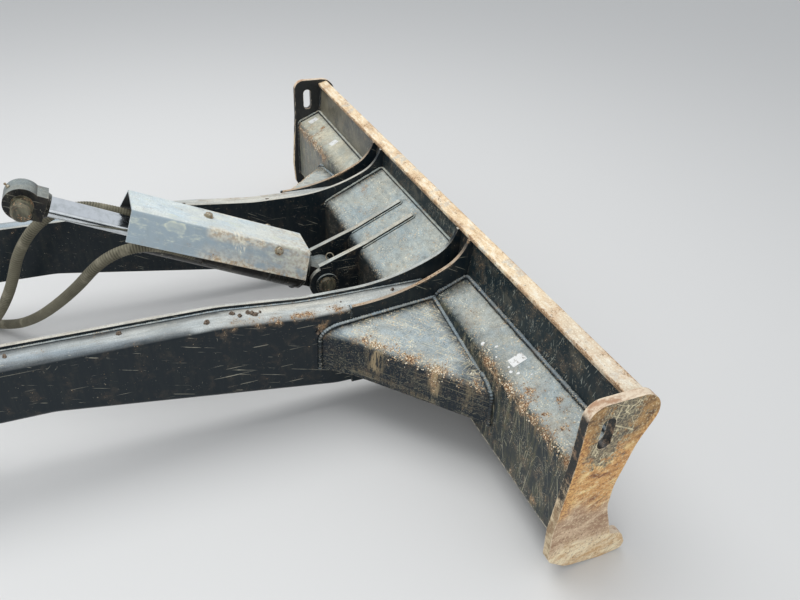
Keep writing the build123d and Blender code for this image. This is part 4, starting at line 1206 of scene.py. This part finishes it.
def gusset_welds():
    """Beads round each gusset: along the arm and riser, then down the box."""
    arm_run = shifted(GUSSET_LINE, x=OFF, z=OFF)
    tip = Vector((ARM_OUTSIDE + OFF, GUSSET_LOW.y - OFF * 0.5, GUSSET_FOOT))
    heights = {}
    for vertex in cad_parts["gusset_right"].data.vertices:
        if abs(vertex.co.y - GUSSET_HIGH.y) < SAME_PLANE:
            x = round(vertex.co.x, 4)
            heights[x] = max(heights.get(x, -1.0), vertex.co.z)
    box_run = [Vector((x, GUSSET_HIGH.y - OFF, height + OFF)) for x, height in sorted(heights.items())
               if height > -0.1]
    foot = Vector((GUSSET_HIGH.x + OFF, GUSSET_HIGH.y - OFF, GUSSET_FOOT))
    arm_run[-1] = box_run[0].copy()
    return both_sides([[tip] + arm_run, box_run + [foot]])


def centre_welds():
    """Bead of the centre box: along both inner plates and the mouldboard."""
    run = shifted(CENTRE_LINE, x=-OFF, z=OFF * 0.6)
    run[-1] += Vector((0, -OFF, 0))
    return [rounded(run + mirrored(run)[::-1], 0.012)]


def ear_welds():
    """Narrow bead round each ear's foot on the centre box."""
    slope = (CENTRE_LINE[-1] - CENTRE_LINE[-2]).normalized()
    normal = Vector((0, -slope.z, slope.y))
    start = Vector((0, *CENTRE_LINE[-2].yz)) + normal * 0.001
    front = start + slope * ((EAR_HIGH.y - start.y) / slope.y + 0.003)
    routes = []
    for low, high in ((EAR_LOW.x, EAR_HIGH.x), (-EAR_HIGH.x, -EAR_LOW.x)):
        routes.append(rounded([start + RIGHT * (low - 0.002), front + RIGHT * (low - 0.002),
                               front + RIGHT * (high + 0.002), start + RIGHT * (high + 0.002)], 0.009))
    return routes


def arm_welds():
    """Beads of the arms: top sheet along the inner plate, foot of the riser, bosses."""
    lip = [Vector((INNER_HIGH.x + 0.001, y, z)) for y, z in (
        (0.02, 0.0702), (0.6051, 0.0702), (0.6383, 0.0690), (0.8052, 0.0525), (0.8549, 0.0502),
        (1.15, 0.0502))]
    foot = [Vector((RISER_LOW.x + 0.001, RISER_LOW.y - 0.001, 0.0515)),
            Vector((ARM_OUTSIDE, RISER_LOW.y - 0.001, 0.0515)),
            Vector((ARM_OUTSIDE, RISER_LOW.y - 0.001, 0.012))]
    bosses = [circle(RIGHT * x, FORWARD, UP, BOSS_SEAM, 40)
              for x in (INNER_LOW.x - 0.001, ARM_OUTSIDE + 0.001)]
    return both_sides([lip, rounded(foot, 0.006), *bosses])


def plate_welds():
    """Bead between the mouldboard's back and each end plate."""
    back = [Vector((END_LOW.x - OFF * 0.7, y, z)) for y, z in (
        (1.2490, 0.084), (1.2525, 0.118), (1.2560, 0.150), (1.2590, 0.178))]
    return both_sides([back])


def cylinder_welds():
    """Ring between the cylinder's end cap and its tube."""
    centre = EAR_PIN + CYLINDER_LINE * CAP_SEAM
    return [circle(centre, RIGHT, CYLINDER_LINE.cross(RIGHT), CAP_SEAM_RADIUS, 44)]


def weld(name, body, slot, routes, radius, pitch=0.007, material=WELD_PAINT):
    return grown(curve_object(routes), RIPPLE_TUBE, name, body, slot, Radius=radius, Pitch=pitch,
                 Depth=0.10, Steps=4.0, Sides=10, Sleeve_Start=-1.0, Uneven=0.8, Material=material)


weld("box_welds", "blade", "blade_paint", box_welds(), radius=0.0064, material=BOX_WELD_PAINT)
weld("gusset_welds", "blade", "blade_paint", gusset_welds(), radius=0.0060)
weld("centre_welds", "blade", "blade_paint", centre_welds(), radius=0.0052, material=CENTRE_WELD_PAINT)
weld("ear_welds", "blade", "blade_paint", ear_welds(), radius=0.0034, pitch=0.005,
     material=CENTRE_WELD_PAINT)
weld("arm_welds", "blade", "blade_paint", arm_welds(), radius=0.0036, pitch=0.005)
weld("plate_welds", "blade", "blade_paint", plate_welds(), radius=0.005)
weld("cylinder_welds", "barrel", "cylinder_paint", cylinder_welds(), radius=0.004, pitch=0.005)

# Bolts, mud, grease nipples and blank labels

BOLTS = [
    # middle of the washer on the guard's face, direction
    (on_guard(0.2748, -0.011, GUARD_TOP), GUARD_UP),
    (on_guard(0.0906, 0.067, 0.068), RIGHT * GUARD_SIDE.x + GUARD_UP * GUARD_SIDE.z),
    (on_guard(0.0906, -0.067, 0.068), RIGHT * -GUARD_SIDE.x + GUARD_UP * GUARD_SIDE.z),
]
grown(points_object(*zip(*BOLTS)), HEX_BOLTS, "guard_bolts", "barrel", "guard_paint", Material=ZINC)

CLODS = [
    # x, y, z on the tops of the arms and at the gusset's tip
    (0.3019, 0.6574, 0.0673), (0.3136, 0.6735, 0.0657), (0.3048, 0.6938, 0.0636), (0.3090, 0.7010, 0.0630),
    (0.3161, 0.7077, 0.0622), (0.3060, 0.7217, 0.0608), (0.3110, 0.7150, 0.0615), (0.3226, 0.5972, 0.0700),
    (0.3000, 0.4100, 0.0700), (0.3060, 0.1850, 0.0700), (0.3040, 1.0600, 0.0500), (0.3120, 0.9200, 0.0500),
    (-0.3060, 0.6300, 0.0698), (-0.3010, 0.8800, 0.0500), (-0.3150, 0.3300, 0.0700),
    (-0.3050, 1.1000, 0.0500), (0.3530, 0.8560, 0.0060), (0.3500, 0.8500, -0.0010),
]
grown(points_object(CLODS), MUD_CLODS, "mud_clods", "blade", "blade_paint", Material=MUD)

CRUSTS = [
    # node without its side, start and end of a line near its fold, how many, how far they stray
    ("gusset", (0.415, 0.948, -0.004), (0.440, 0.970, -0.006), 26, 0.007),
    ("gusset", (0.455, 0.985, -0.008), (0.520, 1.040, -0.014), 130, 0.010),
    ("gusset", (0.535, 1.052, -0.016), (0.585, 1.095, -0.020), 110, 0.012),
    ("gusset", (0.556, 1.068, -0.012), (0.560, 1.072, -0.022), 60, 0.005),
    ("gusset", (0.558, 1.070, -0.026), (0.560, 1.072, -0.060), 40, 0.005),
    ("gusset", (0.425, 0.957, -0.004), (0.450, 0.978, -0.006), 60, 0.005),
    ("gusset", (0.590, 1.100, -0.020), (0.650, 1.150, -0.024), 40, 0.008),
    ("side_box", (0.575, 1.166, 0.040), (0.670, 1.166, 0.040), 26, 0.008),
    ("side_box", (0.680, 1.164, 0.038), (0.740, 1.164, 0.038), 100, 0.011),
    ("side_box", (0.750, 1.164, 0.038), (0.930, 1.164, 0.038), 100, 0.010),
]


def crust_points(side_word, seed):
    """Points strewn along the folds of one side, each on the sheet's surface."""
    chance = random.Random(seed)
    sign = 1 if side_word == "right" else -1
    places = []
    for node, start, end, count, stray in CRUSTS:
        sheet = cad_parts[node + "_" + side_word]
        for _ in range(count):
            place = Vector(start).lerp(Vector(end), chance.random())
            place += Vector([chance.gauss(0, stray) for _ in range(3)])
            place.x *= sign
            places.append(sheet.closest_point_on_mesh(place)[1])
    return places


for side_seed, side_word in ((5, "right"), (8, "left")):
    strewn = points_object(crust_points(side_word, side_seed))
    grown(strewn, MUD_CLODS, "fold_crust_" + side_word, "blade", "blade_paint", Least=0.0006, Most=0.0021,
          Roughness=0.0026, Lump_Scale=650.0, Fineness=2, Seed=side_seed, Material=CRUST)


def turned_mesh(name, outline, centre, axis, steps=16):
    """Mesh of an outline of (radius, height) points turned about an axis."""
    side = axis.orthogonal().normalized()
    vertices = [point for radius, height in outline
                for point in circle(centre + axis * height, side, axis.cross(side), radius, steps)[:-1]]
    faces = [tuple(range(steps))[::-1], tuple(range((len(outline) - 1) * steps, len(outline) * steps))]
    for row in range(len(outline) - 1):
        for index in range(steps):
            after = (index + 1) % steps
            faces.append((row * steps + index, row * steps + after,
                          (row + 1) * steps + after, (row + 1) * steps + index))
    mesh = bpy.data.meshes.new(name)
    mesh.from_pydata([tuple(v) for v in vertices], [], faces)
    mesh.shade_smooth()
    return mesh


def grease_nipple(name, body, base, axis):
    """Collar, neck and ball of a grease nipple."""
    outline = [(0.0045, -0.001), (0.0045, 0.004), (0.0027, 0.0045), (0.0022, 0.008), (0.0030, 0.0095),
               (0.0030, 0.011), (0.0018, 0.0125)]
    mesh = turned_mesh(name, outline, base, axis.normalized())
    mesh.materials.append(ZINC)
    return placed(mesh, name, body)


RING_AXIS = Vector((0.8, -0.25, 0.5)).normalized()
RING_SIDE = RING_AXIS.orthogonal().normalized()
ring_route = circle(Vector((-0.018, 0.994, -0.020)), RING_SIDE, RING_AXIS.cross(RING_SIDE), 0.011, 36)
grown(curve_object([ring_route]), RIPPLE_TUBE, "keeper_ring", "barrel", "pin_steel", Radius=0.0018,
      Pitch=0.004, Depth=0.0, Steps=2.0, Sides=8, Sleeve_Start=-1.0, Material=ZINC)
grease_nipple("ear_nipple", "barrel", EAR_PIN + Vector((0.012, 0.012, 0.042)), Vector((0, 0.25, 1)))
grease_nipple("rod_eye_nipple", "rod", UPPER_PIN + Vector((0, -0.02, 0.0345)), Vector((0, -0.5, 0.85)))
for side_sign, side_word in ((1, "right"), (-1, "left")):
    grease_nipple("arm_nipple_" + side_word, "blade", Vector((side_sign * 0.309, 0.0, 0.0695)), UP)

BOX_SLOPE = (BOX_LINE[-1] - BOX_LINE[-2]).normalized()
LABEL_ROUND = 0.002              # radius of a label's corners


def thin_plate(name, outlines):
    """Blank sheet pieces on the slope of a side box, through these outlines."""
    normal = Vector((0, -BOX_SLOPE.z, BOX_SLOPE.y))
    vertices, faces = [], []
    for outline in outlines:
        first, count = len(vertices), len(outline)
        low = range(first, first + count)
        vertices += [tuple(point + normal * depth) for depth in (-0.001, 0.0008) for point in outline]
        faces += [tuple(low)[::-1], tuple(index + count for index in low)]
        faces += [(i, j, j + count, i + count) for i, j in zip(low, [*low[1:], first])]
    mesh = bpy.data.meshes.new(name)
    mesh.from_pydata(vertices, [], faces)
    mesh.materials.append(LABEL)
    return placed(mesh, name, "blade")


def label_plate(name, centre, half_width, half_height, turn):
    """Thin blank plate with rounded corners on the slope of a side box."""
    across = RIGHT * math.cos(turn) + BOX_SLOPE * math.sin(turn)
    along = BOX_SLOPE * math.cos(turn) - RIGHT * math.sin(turn)
    out, up = half_width - LABEL_ROUND, half_height - LABEL_ROUND
    outline = []
    for start, sx, sy in ((0, 1, 1), (90, -1, 1), (180, -1, -1), (270, 1, -1)):
        corner = centre + across * sx * out + along * sy * up
        for step in range(4):
            angle = math.radians(start + step * 30)
            outline.append(corner + (across * math.cos(angle) + along * math.sin(angle)) * LABEL_ROUND)
    return thin_plate(name, [outline])


def torn_scraps(name, places, seed):
    """Torn scraps of a label, given as (x, y, radius) on a side box."""
    chance = random.Random(seed)
    outlines = []
    for x, y, radius in places:
        centre = Vector((x, *(BOX_LINE[-1].yz + (y - BOX_LINE[-1].y) / BOX_SLOPE.y * BOX_SLOPE.yz)))
        outline = []
        for step in range(8):
            angle, reach = 2 * math.pi * step / 8, radius * chance.uniform(0.55, 1.1)
            outline.append(centre + (RIGHT * math.cos(angle) + BOX_SLOPE * math.sin(angle)) * reach)
        outlines.append(outline)
    return thin_plate(name, outlines)


LABELS = [
    # name, middle, half its width and height, turn
    ("label_near", (0.6702, 1.2090, 0.0629), 0.0125, 0.0185, 0.05),
    ("label_far_outer", (-0.9120, 1.2080, 0.0625), 0.0150, 0.0180, 0.18),
    ("label_far_inner", (-0.6613, 1.2120, 0.0640), 0.0140, 0.0155, 0.18),
]
for label_name, middle, half_width, half_height, label_turn in LABELS:
    label_plate(label_name, Vector(middle), half_width, half_height, label_turn)
torn_scraps("label_scraps", [
    (0.9222, 1.1985, 0.0085), (0.5766, 1.1745, 0.0068), (0.6056, 1.1935, 0.0040), (0.6761, 1.1855, 0.0035),
    (0.6900, 1.1830, 0.0042), (0.7040, 1.1925, 0.0048), (0.7254, 1.2123, 0.0030), (0.6330, 1.1790, 0.0030),
], seed=4)

# Floor, light and camera


def make_stage():
    half = 30.0
    mesh = bpy.data.meshes.new("floor")
    corners = [(x, y, FLOOR) for x, y in ((-half, -half), (half, -half), (half, half), (-half, half))]
    mesh.from_pydata(corners, [], [(0, 1, 2, 3)])
    mesh.materials.append(new_material(pale_floor))
    linked("floor", mesh)


def make_light(name, place, aim, size, power):
    lamp = bpy.data.lights.new(name, "AREA")
    lamp.shape = "DISK"
    lamp.size = size
    lamp.energy = power
    light = linked(name, lamp)
    light.location = place
    light.rotation_euler = (Vector(aim) - Vector(place)).to_track_quat("-Z", "Y").to_euler()


def make_world():
    world = bpy.data.worlds.new("soft_sky")
    bpy.context.scene.world = world
    world.use_nodes = True
    tree = world.node_tree
    background = next(node for node in tree.nodes if node.type == "BACKGROUND")
    feed(tree, background.inputs["Color"], (0.93, 0.96, 1.0))
    background.inputs["Strength"].default_value = 0.66


# Camera as solved from the photographed blade, for an 800 by 600 picture

CAMERA_PLACE = Vector((1.63297, 0.4945, 0.99947))
CAMERA_YAW = -1.15424
CAMERA_PITCH = -0.59582
CAMERA_ROLL = 0.04826
FOCAL_SHARE = 0.85          # focal length over picture width
SENSOR_WIDTH = 36.0


def make_camera():
    forward = Vector((
        math.sin(CAMERA_YAW) * math.cos(CAMERA_PITCH),
        math.cos(CAMERA_YAW) * math.cos(CAMERA_PITCH),
        math.sin(CAMERA_PITCH)))
    level_right = forward.cross(UP).normalized()
    level_up = level_right.cross(forward)
    right = level_right * math.cos(CAMERA_ROLL) + level_up * math.sin(CAMERA_ROLL)
    up = level_up * math.cos(CAMERA_ROLL) - level_right * math.sin(CAMERA_ROLL)
    lens = bpy.data.cameras.new("camera")
    lens.sensor_width = SENSOR_WIDTH
    lens.lens = FOCAL_SHARE * SENSOR_WIDTH
    lens.clip_start = 0.01
    camera = linked("camera", lens)
    turn = Matrix((right, up, -forward)).transposed()
    camera.matrix_world = Matrix.Translation(CAMERA_PLACE) @ turn.to_4x4()
    bpy.context.scene.camera = camera


make_stage()
make_world()
make_light("sky_panel", place=(-0.6, 0.2, 3.4), aim=(0, 0.7, 0), size=3.2, power=80)
make_light("side_panel", place=(3.2, -0.6, 1.6), aim=(0, 0.8, 0), size=2.0, power=22)
make_camera()
bpy.context.scene.view_settings.view_transform = "Standard"
